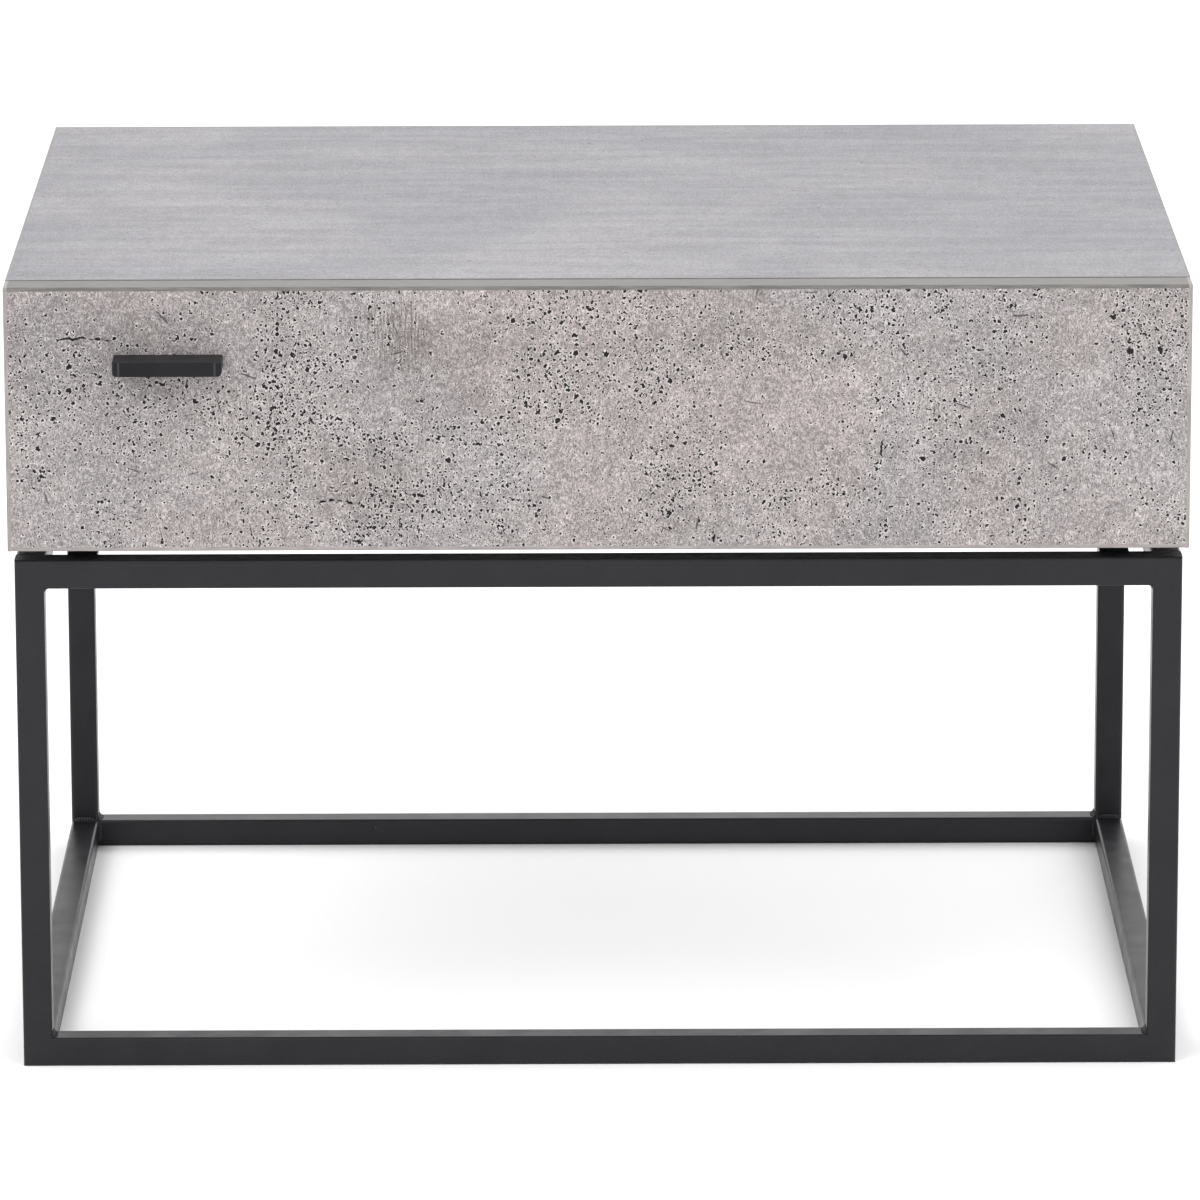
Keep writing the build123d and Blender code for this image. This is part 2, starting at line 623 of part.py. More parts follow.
def draw_inner_section():
    """Section of the inner member, open towards the case wall."""
    with Locations((SLIDE_THICKNESS - SLIDE_SHEET / 2, 0)):
        Rectangle(SLIDE_SHEET, 2 * (RACE_SPREAD - RACE_R))
    for up in (-1, 1):
        draw_flange(SLIDE_THICKNESS, up, False)


def draw_cage_section():
    """Section of the ball cage, which wraps round the inner member."""
    web_x = SLIDE_SHEET + CAGE_PLAY
    flange_y = RACE_SPREAD + CAGE_LIFT
    tip_x = RACE_X + RACE_R - CAGE_PLAY
    with Locations((web_x + CAGE_SHEET / 2, 0)):
        Rectangle(CAGE_SHEET, 2 * (flange_y + CAGE_SHEET))
    for up in (-1, 1):
        with Locations(((web_x + tip_x) / 2, up * (flange_y + CAGE_SHEET / 2))):
            Rectangle(tip_x - web_x, CAGE_SHEET)


def ball_places(sign):
    """Centres of all the balls in one slide."""
    middle = CAGE_FRONT_Y + CAGE_LENGTH / 2
    pitch = (CAGE_LENGTH - 2 * BALL_FROM_END) / (BALL_COUNT - 1)
    steps = [(count - (BALL_COUNT - 1) / 2) * pitch for count in range(BALL_COUNT)]
    x = sign * (SIDE_INNER_X - RACE_X)
    return [(x, middle + step, SLIDE_Z + up * RACE_SPREAD) for up in (-1, 1) for step in steps]


def make_member(name, draw_section, sign, bore, screw_planes):
    """Rolled slide member with its countersunk screw holes."""
    start_y = SLIDE_FRONT_Y if sign > 0 else SLIDE_REAR_Y
    with BuildPart() as member:
        with BuildSketch(slide_plane(sign, start_y)):
            draw_section()
        extrude(amount=SLIDE_LENGTH)
        cut(bore, screw_planes)
    finish(member, name)


for side, sign in SIDES.items():
    make_member(
        f"slide_outer_{side}", draw_outer_section, sign, SLIDE_SCREW_BORE, outer_screw_planes(sign)
    )
    make_member(
        f"slide_inner_{side}", draw_inner_section, sign, DRAWER_SCREW_BORE, inner_screw_planes(sign)
    )
    cage_start = CAGE_FRONT_Y if sign > 0 else CAGE_FRONT_Y + CAGE_LENGTH
    with BuildPart() as ball_cage:
        with BuildSketch(slide_plane(sign, cage_start)):
            draw_cage_section()
        extrude(amount=CAGE_LENGTH)
        with Locations(*ball_places(sign)):
            Sphere(RACE_R, mode=Mode.SUBTRACT)
    finish(ball_cage, f"ball_cage_{side}")
    with BuildPart() as slide_balls:
        with Locations(*ball_places(sign)):
            Sphere(BALL_R)
    finish(slide_balls, f"slide_balls_{side}")

OUTER_SCREWS = [plane for sign in SIDES.values() for plane in outer_screw_planes(sign)]
INNER_SCREWS = [plane for sign in SIDES.values() for plane in inner_screw_planes(sign)]
make_group("slide_outer_screws", SLIDE_SCREW, OUTER_SCREWS)
make_group("slide_inner_screws", DRAWER_SCREW, INNER_SCREWS)

# ================================================================ drawer
FRONT_Z = CASE_Z + FRONT_LIFT
DRAWER_MID_X = DRAWER_SIDE_X - DRAWER_BOARD / 2
DRAWER_CAM_Z = SLIDE_Z + DRAWER_CAM_LIFT
DRAWER_DOWEL_SPREAD = DRAWER_HEIGHT * DRAWER_DOWEL_SHARE
DRAWER_CAMS = {
    side: [joint_plane((sign * DRAWER_MID_X, FRONT_REAR_Y, DRAWER_CAM_Z), (0, 1, 0), (-sign, 0, 0))]
    for side, sign in SIDES.items()
}
DRAWER_DOWELS = {
    side: [
        joint_plane((sign * DRAWER_MID_X, FRONT_REAR_Y, DRAWER_CAM_Z + step), (0, 1, 0), (-sign, 0, 0))
        for step in (-DRAWER_DOWEL_SPREAD, DRAWER_DOWEL_SPREAD)
    ]
    for side, sign in SIDES.items()
}
BACK_SCREW = make_flat_screw(BACK_SCREW_HEAD_R, BACK_SCREW_R, BACK_SCREW_LENGTH)
BACK_SCREW_BORE = make_flat_screw(BACK_SCREW_HEAD_R, BACK_SCREW_R, BACK_SCREW_LENGTH, FIT)
BACK_SCREW_ZS = (GROOVE_Z + DRAWER_BOTTOM + BACK_SCREW_RAISE, DRAWER_TOP_Z - BACK_SCREW_DROP)


def back_screw_planes(sign):
    """Screws through a drawer side into the end of the drawer back."""
    y = DRAWER_REAR_Y - DRAWER_BOARD / 2
    return [
        Plane(origin=(sign * DRAWER_SIDE_X, y, z), x_dir=(0, 1, 0), z_dir=(-sign, 0, 0))
        for z in BACK_SCREW_ZS
    ]


# Everything about the finger pull is placed from the plane of the drawer front:
# x to the right, y up, z towards the user, origin at the middle of its top edge.
PULL_PLANE = Plane(origin=(PULL_X, FACE_Y, PULL_TOP_Z), x_dir=(1, 0, 0), z_dir=(0, -1, 0))
PULL_SCREW_SPOTS = [(side * PULL_SCREW_SPACING / 2, -PULL_HEIGHT / 2) for side in (-1, 1)]
GROOVE_HALF_WIDTH = DRAWER_INNER_X + GROOVE_DEPTH
GROOVE_TOP_Z = GROOVE_Z + DRAWER_BOTTOM + GROOVE_SLACK

with BuildPart() as drawer_front:
    span_box(
        (-HALF_WIDTH + FRONT_BAND, FACE_Y, FRONT_Z + FRONT_BAND),
        (HALF_WIDTH - FRONT_BAND, FRONT_REAR_Y, TABLE_HEIGHT - FRONT_BAND),
    )
    span_box(
        (-GROOVE_HALF_WIDTH, FRONT_REAR_Y - FRONT_GROOVE_DEPTH, GROOVE_Z),
        (GROOVE_HALF_WIDTH, FRONT_REAR_Y, GROOVE_TOP_Z),
        Mode.SUBTRACT,
    )
    cut(face_bore.part, [plane for planes in DRAWER_CAMS.values() for plane in planes])
    cut(SMALL_DOWEL_BORE, [plane for planes in DRAWER_DOWELS.values() for plane in planes])
    with BuildSketch(PULL_PLANE):
        with Locations(*PULL_SCREW_SPOTS):
            Circle(PULL_SCREW_HOLE_R)
    extrude(amount=-BOARD, mode=Mode.SUBTRACT)
finish(drawer_front, "drawer_front")

with BuildPart() as front_band_top:
    span_box(
        (-HALF_WIDTH + FRONT_BAND, FACE_Y, TABLE_HEIGHT - FRONT_BAND),
        (HALF_WIDTH - FRONT_BAND, FRONT_REAR_Y, TABLE_HEIGHT),
    )
    fillet(front_band_top.faces().sort_by(Axis.Z)[-1].edges().filter_by(Axis.X), FRONT_ARRIS)
finish(front_band_top, "front_band_top")

with BuildPart() as front_band_bottom:
    span_box(
        (-HALF_WIDTH + FRONT_BAND, FACE_Y, FRONT_Z),
        (HALF_WIDTH - FRONT_BAND, FRONT_REAR_Y, FRONT_Z + FRONT_BAND),
    )
    fillet(front_band_bottom.faces().sort_by(Axis.Z)[0].edges().filter_by(Axis.X), FRONT_ARRIS)
finish(front_band_bottom, "front_band_bottom")

for side, sign in SIDES.items():
    inner, outer = sorted((sign * (HALF_WIDTH - FRONT_BAND), sign * HALF_WIDTH))
    with BuildPart() as side_band:
        span_box((inner, FACE_Y, FRONT_Z), (outer, FRONT_REAR_Y, TABLE_HEIGHT))
        outer_face = side_band.faces().sort_by(Axis.X)[-1 if sign > 0 else 0]
        fillet(outer_face.edges(), FRONT_ARRIS)
    finish(side_band, f"front_band_{side}")

for side, sign in SIDES.items():
    inner, outer = sorted((sign * DRAWER_INNER_X, sign * DRAWER_SIDE_X))
    groove = sorted((sign * DRAWER_INNER_X, sign * GROOVE_HALF_WIDTH))
    with BuildPart() as drawer_side:
        span_box((inner, FRONT_REAR_Y, DRAWER_Z), (outer, DRAWER_REAR_Y, DRAWER_TOP_Z))
        span_box(
            (groove[0], FRONT_REAR_Y, GROOVE_Z), (groove[1], DRAWER_REAR_Y, GROOVE_TOP_Z), Mode.SUBTRACT
        )
        cut(SMALL_EDGE_BORES, DRAWER_CAMS[side])
        cut(SMALL_DOWEL_BORE, DRAWER_DOWELS[side])
        cut(DRAWER_SCREW_BORE, inner_screw_planes(sign))
        cut(BACK_SCREW_BORE, back_screw_planes(sign))
    finish(drawer_side, f"drawer_side_{side}")

with BuildPart() as drawer_back:
    span_box(
        (-DRAWER_INNER_X, DRAWER_REAR_Y - DRAWER_BOARD, DRAWER_Z),
        (DRAWER_INNER_X, DRAWER_REAR_Y, DRAWER_TOP_Z),
    )
    span_box(
        (-DRAWER_INNER_X, DRAWER_REAR_Y - DRAWER_BOARD, GROOVE_Z),
        (DRAWER_INNER_X, DRAWER_REAR_Y - DRAWER_BOARD + GROOVE_DEPTH, GROOVE_TOP_Z),
        Mode.SUBTRACT,
    )
    for sign in SIDES.values():
        cut(BACK_SCREW_BORE, back_screw_planes(sign))
finish(drawer_back, "drawer_back")

with BuildPart() as drawer_bottom:
    half_width = GROOVE_HALF_WIDTH - GROOVE_PLAY
    span_box(
        (-half_width, FRONT_REAR_Y - FRONT_GROOVE_DEPTH + GROOVE_PLAY, GROOVE_Z),
        (half_width, DRAWER_REAR_Y - DRAWER_BOARD + GROOVE_DEPTH - GROOVE_PLAY, GROOVE_Z + DRAWER_BOTTOM),
    )
finish(drawer_bottom, "drawer_bottom")

make_group("drawer_cams", SMALL_CAM, [plane for planes in DRAWER_CAMS.values() for plane in planes])
make_group("drawer_cam_bolts", CAM_BOLT, [plane for planes in DRAWER_CAMS.values() for plane in planes])
make_group("drawer_dowels", SMALL_DOWEL, [plane for planes in DRAWER_DOWELS.values() for plane in planes])
make_group("drawer_back_screws", BACK_SCREW, [p for sign in SIDES.values() for p in back_screw_planes(sign)])

# Finger pull: a shallow cast shell, open below, with two screw bosses.
with BuildPart() as finger_pull:
    with BuildSketch(PULL_PLANE):
        with Locations((0, -PULL_HEIGHT / 2)):
            Rectangle(PULL_WIDTH, PULL_HEIGHT)
    extrude(amount=PULL_REACH)
    front_corners = finger_pull.faces().sort_by(Axis.Y)[0].edges().filter_by(Axis.Z)
    fillet(front_corners, PULL_CORNER)
    for rim_face, arris in ((-1, PULL_ARRIS), (0, PULL_LOWER_ARRIS)):
        rim = finger_pull.faces().sort_by(Axis.Z)[rim_face].edges()
        fillet(rim.filter_by(lambda edge: edge.center().Y < FACE_Y - PULL_ARRIS), arris)
    with BuildSketch(PULL_PLANE):
        with Locations((0, -(PULL_HEIGHT + PULL_WALL) / 2)):
            Rectangle(PULL_WIDTH - 2 * PULL_WALL, PULL_HEIGHT - PULL_WALL)
    extrude(amount=PULL_REACH - PULL_WALL, mode=Mode.SUBTRACT)
    with BuildSketch(PULL_PLANE):
        with Locations(*PULL_SCREW_SPOTS):
            Circle(PULL_HEIGHT / 2 - PULL_BOSS_SET)
    extrude(amount=PULL_BOSS_LENGTH)
    with BuildSketch(PULL_PLANE):
        with Locations(*PULL_SCREW_SPOTS):
            Circle(PULL_SCREW_R + FIT)
    extrude(amount=PULL_SCREW_BITE + FIT, mode=Mode.SUBTRACT)
finish(finger_pull, "finger_pull")

with BuildPart() as pull_screws:
    with BuildSketch(PULL_PLANE.offset(-BOARD)):
        with Locations(*PULL_SCREW_SPOTS):
            Circle(PULL_SCREW_R)
    extrude(amount=BOARD + PULL_SCREW_BITE)
    with BuildSketch(PULL_PLANE.offset(-BOARD)):
        with Locations(*PULL_SCREW_SPOTS):
            Circle(PULL_SCREW_HEAD_R)
    extrude(amount=-PULL_SCREW_HEAD)
    fillet(pull_screws.edges().group_by(Axis.Y)[-1], PULL_SCREW_ARRIS)
    with BuildSketch(PULL_PLANE.offset(-BOARD - PULL_SCREW_HEAD)):
        with Locations(*PULL_SCREW_SPOTS):
            Circle(SCREW_RECESS_R)
    extrude(amount=SCREW_RECESS_DEPTH, mode=Mode.SUBTRACT)
finish(pull_screws, "pull_screws")
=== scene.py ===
"""Side table with one drawer: finishes, corner welds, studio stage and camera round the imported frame.

Places on the table come from the frame. Its nodes keep their shapes and take their finishes here."""

import math
import random

import bmesh
import bpy
from mathutils import Matrix, Vector


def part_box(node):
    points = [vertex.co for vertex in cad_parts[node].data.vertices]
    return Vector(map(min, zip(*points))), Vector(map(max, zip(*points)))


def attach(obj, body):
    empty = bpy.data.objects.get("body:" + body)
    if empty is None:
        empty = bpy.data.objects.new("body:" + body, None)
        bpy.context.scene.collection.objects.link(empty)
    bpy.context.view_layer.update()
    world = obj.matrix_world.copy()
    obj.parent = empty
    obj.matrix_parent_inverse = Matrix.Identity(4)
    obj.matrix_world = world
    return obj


bl_info = {
    "name": "Side Table With Drawer",
    "version": (1, 0, 0),
    "blender": (4, 5, 0),
    "location": "View3D > Sidebar > Side Table",
    "description": "Finishes and details of a concrete-look side table with one drawer on a steel frame",
    "category": "Object",
}

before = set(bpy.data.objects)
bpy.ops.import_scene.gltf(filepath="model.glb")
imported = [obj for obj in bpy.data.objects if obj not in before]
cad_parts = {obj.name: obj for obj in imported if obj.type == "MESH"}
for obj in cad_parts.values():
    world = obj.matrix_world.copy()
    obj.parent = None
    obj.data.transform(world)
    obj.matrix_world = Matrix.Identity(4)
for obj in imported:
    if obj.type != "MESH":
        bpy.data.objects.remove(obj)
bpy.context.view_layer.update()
MM = 0.001
X, Y, Z = 0, 1, 2

LEG_LOW, LEG_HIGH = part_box("leg_front_left")
REAR_LEG_LOW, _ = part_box("leg_rear_right")

ROWS = ("front", "rear")
SIDES = ("left", "right")
TUBES = [f"{kind}_{side}" for kind in ("top_rail", "base_rail") for side in (*ROWS, *SIDES)]
TUBES += [f"leg_{row}_{side}" for row in ROWS for side in SIDES]


# ---------------------------------------------------------------- sizes and colours a user would change


def colour_choice(name, description, default):
    """A colour property in linear values."""
    return bpy.props.FloatVectorProperty(
        name=name, description=description, default=default, subtype="COLOR", size=3, min=0.0, max=1.0)


def size_choice(name, description, default_mm):
    """A length property kept in metres and given in millimetres."""
    return bpy.props.FloatProperty(
        name=name, description=description, default=default_mm * MM, min=0.0, unit="LENGTH",
        subtype="DISTANCE")


def share_choice(name, description, default):
    """A property from 0 to 1."""
    return bpy.props.FloatProperty(
        name=name, description=description, default=default, min=0.0, max=1.0, subtype="FACTOR")


def power_choice(name, description, default):
    """A lamp's power in watts."""
    return bpy.props.FloatProperty(name=name, description=description, default=default, min=0.0, unit="POWER")


class ConcreteChoices(bpy.types.PropertyGroup):
    """The printed concrete facing of the case and the drawer front."""

    cool: colour_choice("Cool Grey", "Cement grey of the cooler clouds", (0.265, 0.248, 0.247))
    warm: colour_choice("Warm Grey", "Pinkish grey of the warmer clouds", (0.290, 0.258, 0.256))
    pit: colour_choice("Pit", "Colour at the bottom of a printed air hole", (0.004, 0.003, 0.0035))
    top_cool: colour_choice("Top Cool Grey", "Cooler streaks of the table top", (0.196, 0.191, 0.207))
    top_pale: colour_choice("Top Pale Grey", "Paler streaks of the table top", (0.237, 0.229, 0.243))
    band: colour_choice("Plain Band", "Grey-green band on top of the drawer front", (0.134, 0.126, 0.119))
    # near-black underside: a backing sheet whose dark colour is painted shade for the shadow under the box
    backing_shade: colour_choice("Backing", "Dark backing sheet under the bottom panel", (0.024, 0.023, 0.024))
    speck: size_choice("Speck", "Usual width of the finest air holes", 0.7)
    hole: size_choice("Hole", "Usual width of the middling air holes", 1.3)
    cavity: size_choice("Cavity", "Usual width of the few large air holes", 2.7)


class SteelChoices(bpy.types.PropertyGroup):
    """The powder-coated frame and its welds."""

    coat: colour_choice("Powder Coat", "Colour of the frame's coating", (0.0085, 0.0085, 0.0108))
    grain: size_choice("Grain", "Size of the coating's fine texture", 0.55)
    bead: size_choice("Weld Bead", "Leg length of the fillet welds in the inner corners", 2.3)
    ripple: size_choice("Weld Ripple", "Distance between two ripples of a weld", 1.5)


class PullChoices(bpy.types.PropertyGroup):
    """The black finger pull."""

    coat: colour_choice("Pull Coat", "Colour of the pull's satin coating", (0.0120, 0.0116, 0.0134))
    gloss: share_choice("Pull Roughness", "Roughness of the pull's coating", 0.42)
    # placement of the painted highlight lines at the pull's rounded corners
    glint_set: size_choice("Glint Set", "From each end of the pull to the rubbed line at its corner", 3.3)
    glint_width: size_choice("Glint Width", "Half the width of a rubbed line", 0.7)


class DrawerChoices(bpy.types.PropertyGroup):
    """The boards and fittings behind the drawer front."""

    board: colour_choice("Board Facing", "Melamine facing of the drawer sides and back", (0.42, 0.42, 0.41))
    base: colour_choice("Drawer Bottom", "Facing of the thin drawer bottom", (0.45, 0.45, 0.44))
    zinc: colour_choice("Zinc", "Bright zinc plating of slides and screws", (0.62, 0.63, 0.64))
    beech: colour_choice("Beech", "Raw beech of the dowels", (0.56, 0.36, 0.19))
    chip: colour_choice("Chipboard", "Chipboard core seen in bores and cut edges", (0.42, 0.29, 0.17))


class StageChoices(bpy.types.PropertyGroup):
    """The floor and the lights."""

    floor: colour_choice("Floor", "Plain pale studio floor", (0.97, 0.97, 0.97))
    floor_width: size_choice("Floor Width", "Width of the studio floor", 40000.0)
    surround: bpy.props.FloatProperty(
        name="Surround", description="Strength of the even white surround", default=1.15, min=0.0)
    key: power_choice("Key Light", "Power of the soft light at the upper left", 31.0)
    fill: power_choice("Fill Light", "Power of the soft light at the right", 23.0)
    back: power_choice("Back Light", "Power of the soft light behind", 18.0)
    under: power_choice("Under Light", "Power of the weak light under the box", 0.22)


CHOICES = {
    "concrete": ConcreteChoices,
    "steel": SteelChoices,
    "pull": PullChoices,
    "drawer": DrawerChoices,
    "stage": StageChoices,
}


def choices(group):
    """The sizes and colours as the user set them."""
    return getattr(bpy.context.scene, f"side_table_{group}")


# ---------------------------------------------------------------- nodes of the finishes


NOISE_SPAN = (0.3, 0.7)  # nearly all of a soft noise lies between these
CENTRE = (0.5, 0.5, 0.5)  # the middle of a coloured noise


class Finish:
    """One procedural material. Places are in millimetres of the object itself."""

    def __init__(self, name):
        self.material = bpy.data.materials.new(name)
        self.material.use_nodes = True
        self.tree = self.material.node_tree
        self.tree.nodes.clear()
        self.output = self.node("ShaderNodeOutputMaterial")
        self.shader = self.node("ShaderNodeBsdfPrincipled")
        self.tree.links.new(self.shader.outputs["BSDF"], self.output.inputs["Surface"])
        coordinates = self.node("ShaderNodeTexCoord")
        self.normal = coordinates.outputs["Normal"]
        self.place = self.vector("SCALE", coordinates.outputs["Object"], scale=1.0 / MM)

    def node(self, kind, **settings):
        """Adds a node and sets its options."""
        node = self.tree.nodes.new(kind)
        for name, value in settings.items():
            setattr(node, name, value)
        return node

    def feed(self, socket, value):
        """Links a socket to another's output, or sets it to a number, vector or colour."""
        if isinstance(value, bpy.types.NodeSocket):
            self.tree.links.new(value, socket)
        elif hasattr(value, "__len__") and len(value) == 3 and socket.type == "RGBA":
            socket.default_value = (*value, 1.0)
        else:
            socket.default_value = value

    def vector(self, operation, first, second=None, scale=None):
        """Vector arithmetic."""
        node = self.node("ShaderNodeVectorMath", operation=operation)
        self.feed(node.inputs[0], first)
        if second is not None:
            self.feed(node.inputs[1], second)
        if scale is not None:
            self.feed(node.inputs["Scale"], scale)
        return node.outputs["Value" if operation == "LENGTH" else "Vector"]

    def maths(self, operation, first, second=0.0):
        """Arithmetic on numbers."""
        node = self.node("ShaderNodeMath", operation=operation)
        self.feed(node.inputs[0], first)
        self.feed(node.inputs[1], second)
        return node.outputs[0]

    def spread(self, value, low, high, to_low=0.0, to_high=1.0, smooth=True):
        """Takes low..high smoothly to to_low..to_high, held beyond both ends."""
        node = self.node("ShaderNodeMapRange", interpolation_type="SMOOTHSTEP" if smooth else "LINEAR")
        for name, number in (("Value", value), ("From Min", low), ("From Max", high), ("To Min", to_low),
                             ("To Max", to_high)):
            self.feed(node.inputs[name], number)
        return node.outputs["Result"]

    def vary(self, noise, to_low, to_high):
        """Takes nearly all of a soft noise to to_low..to_high."""
        return self.spread(noise, *NOISE_SPAN, to_low, to_high)

    def split(self, vector):
        """The three parts of a vector."""
        node = self.node("ShaderNodeSeparateXYZ")
        self.feed(node.inputs[0], vector)
        return node.outputs

    def join(self, x=0.0, y=0.0, z=0.0):
        """A vector from its three parts."""
        node = self.node("ShaderNodeCombineXYZ")
        for socket, value in zip(node.inputs, (x, y, z)):
            self.feed(socket, value)
        return node.outputs[0]

    def shift(self, place, seed, step):
        """Moves a place by one step for each seed, so that two pieces don't share a pattern."""
        return self.vector("ADD", place, tuple(seed * length for length in step))

    def draw_out(self, axes, along, share):
        """Shrinks one axis to a share, so that a pattern made from the place runs long that way."""
        return self.join(*(self.maths("MULTIPLY", axes[k], share if k == along else 1.0) for k in range(3)))

    def noise(self, place, size, detail=2.0, roughness=0.5, distortion=0.0, colour=False):
        """Soft noise with features about size millimetres wide."""
        node = self.node("ShaderNodeTexNoise", noise_dimensions="3D")
        self.feed(node.inputs["Vector"], place)
        self.feed(node.inputs["Scale"], 1.0 / size)
        self.feed(node.inputs["Detail"], detail)
        self.feed(node.inputs["Roughness"], roughness)
        self.feed(node.inputs["Distortion"], distortion)
        return node.outputs["Color" if colour else "Fac"]

    def cells(self, place, size, dimensions="3D"):
        """A jittered net of cells about size millimetres wide."""
        net = self.node("ShaderNodeTexVoronoi", voronoi_dimensions=dimensions, feature="F1")
        self.feed(net.inputs["Vector"], place)
        self.feed(net.inputs["Scale"], 1.0 / size)
        return net.outputs

    def blend(self, share, first, second):
        """The first colour where the share is 0, the second where it is 1."""
        node = self.node("ShaderNodeMix", data_type="RGBA", blend_type="MIX")
        self.feed(node.inputs["Factor"], share)
        self.feed(node.inputs[6], first)
        self.feed(node.inputs[7], second)
        return node.outputs[2]

    def shade(self, colour, amount):
        """The colour made lighter or darker by a factor that varies over the surface."""
        return self.vector("MULTIPLY", colour, self.join(amount, amount, amount))

    def bump(self, height, distance_mm):
        """The surface's normal, tilted by a relief of this depth."""
        node = self.node("ShaderNodeBump")
        self.feed(node.inputs["Height"], height)
        node.inputs["Distance"].default_value = distance_mm * MM
        node.inputs["Strength"].default_value = 1.0
        return node.outputs["Normal"]

    def close(self, colour, roughness, normal, metallic=0.0, specular=0.5):
        """Joins the layers to the shader. What is the same all over sits on the shader's own sockets."""
        self.feed(self.shader.inputs["Base Color"], colour)
        self.feed(self.shader.inputs["Roughness"], roughness)
        if normal is not None:
            self.feed(self.shader.inputs["Normal"], normal)
        self.shader.inputs["Metallic"].default_value = metallic
        self.shader.inputs["Specular IOR Level"].default_value = specular
        return self.material


# ---------------------------------------------------------------- concrete prints


HOLE_EDGE = (0.02, 0.18)  # mm outside a hole's radius between which its dark fades out
HALO_EDGE = (0.18, 0.72)  # mm outside a hole's radius between which its painted halo highlight fades out
SMALL_MORE_USUAL = 1.6  # power of the size draw, which makes small holes more usual than large ones
REDRAW = 7.31  # turns one random draw into another that doesn't follow it
PATCH_SOFTNESS = 0.55  # share of a patch's reach over which it fades, inwards and outwards

# Each kind of air hole: the width of its cells in mm, its smallest and largest width as shares of the usual
# one, its chance in a cell outside all swarms and what a swarm adds, how far in mm the noise pulls its edge
# about, and how many times its width its length is at least and at most.
SPECKS = dict(cell=2.0, widths=(0.7, 1.5), least=0.12, gain=0.60, ragged=1.6, drawn=(1.0, 3.0))
HOLES = dict(cell=2.7, widths=(0.7, 1.35), least=0.07, gain=0.62, ragged=2.6, drawn=(1.0, 2.6))
CAVITIES = dict(cell=8.0, widths=(0.5, 1.0), least=0.02, gain=0.28, ragged=4.0, drawn=(1.0, 2.2))

# painted highlight: pale halo round the air holes, standing in for light catching their edges
PAINTED_HALO = (0.62, 0.59, 0.58)
BRUSHED_DARK = (0.09, 0.072, 0.066)
SPECK_DARK = (0.012, 0.010, 0.010)
# painted highlight: fainter pale halo round the table top's holes
TOP_PAINTED_HALO = (0.42, 0.41, 0.42)
TOP_HOLE = (0.060, 0.055, 0.060)


def air_holes(finish, sheet, cell, small, large, chance, seed, ragged=0.5,
              drawn=(1.0, 2.2), lean=math.pi / 2, sway=1.1, swell=1.0):
    """Air holes as ragged ellipses, at most one in each cell of a jittered net.

    Cell, small, large and ragged are in millimetres: the width of a cell, the least and the most that a hole
    measures, and how far the noise pulls its edge about. Drawn is how many times its width a hole is long, and
    it leans by lean, give or take sway. Returns the holes' mask and the mask of the painted halo highlights
    round them."""
    moved = finish.shift(sheet, seed, (37.1, 11.7, 0.0))
    wobble = finish.vector("SUBTRACT", finish.noise(moved, large * 0.9, 2.0, 0.7, colour=True), CENTRE)
    warped = finish.vector("ADD", moved, finish.vector("SCALE", wobble, scale=ragged))
    net = finish.cells(warped, cell, "2D")
    by_chance, by_size, by_turn = finish.split(net["Color"])
    from_middle = finish.vector("SUBTRACT", warped, net["Position"])
    turned = finish.node("ShaderNodeVectorRotate", rotation_type="Z_AXIS")
    finish.feed(turned.inputs["Vector"], from_middle)
    angle = finish.spread(by_turn, 0.0, 1.0, lean - sway, lean + sway, smooth=False)
    finish.feed(turned.inputs["Angle"], angle)
    flat = finish.spread(finish.maths("FRACT", finish.maths("MULTIPLY", by_turn, REDRAW)), 0.2, 1.0, *drawn)
    along, across, _ = finish.split(turned.outputs["Vector"])
    distance = finish.vector("LENGTH", finish.join(along, finish.maths("MULTIPLY", across, flat), 0.0))
    radius = finish.spread(finish.maths("POWER", by_size, SMALL_MORE_USUAL), 0.0, 1.0, small / 2, large / 2,
                           smooth=False)
    radius = finish.maths("MULTIPLY", radius, swell)
    present = finish.maths("LESS_THAN", by_chance, chance)
    over = finish.maths("SUBTRACT", distance, radius)
    hole = finish.maths("MULTIPLY", finish.spread(over, *HOLE_EDGE, 1.0, 0.0), present)
    halo = finish.maths("MULTIPLY", finish.spread(over, *HALO_EDGE, 1.0, 0.0), present)
    return hole, halo


def gathered_holes(finish, sheet, kind, width, crowd, swell, density, seed):
    """Air holes of one kind, more of them and wider where the crowd is thick."""
    more = finish.maths("MULTIPLY", crowd, kind["gain"] * density)
    chance = finish.maths("ADD", more, kind["least"] * density)
    small, large = (width * share for share in kind["widths"])
    return air_holes(finish, sheet, kind["cell"], small, large, chance, seed, kind["ragged"],
                     drawn=kind["drawn"], swell=swell)


def ragged_reach(finish, sheet):
    """How much nearer or farther a patch's edge lies from place to place, as a share of its reach."""
    return finish.spread(finish.noise(sheet, 16.0, 3.0), 0.2, 0.8, -0.35, 0.35)


def patch(finish, sheet, ragged, middle, reach, amount=1.0):
    """A soft oval patch at a place on the sheet: the amount inside and 0 outside."""
    shrunk = finish.node("ShaderNodeVectorMath", operation="MULTIPLY_ADD")
    finish.feed(shrunk.inputs[0], sheet)
    finish.feed(shrunk.inputs[1], (1.0 / reach[0], 1.0 / reach[1], 1.0))
    finish.feed(shrunk.inputs[2], (-middle[0] / reach[0], -middle[1] / reach[1], 0.0))
    away = finish.maths("ADD", finish.vector("LENGTH", shrunk.outputs["Vector"]), ragged)
    return finish.spread(away, 1.0 - PATCH_SOFTNESS, 1.0 + PATCH_SOFTNESS, amount, 0.0)


def flat_sheet(finish, across, up):
    """The two axes that a facing lies in, as its own sheet of print."""
    axes = finish.split(finish.place)
    return finish.join(axes[across], axes[up], 0.0)


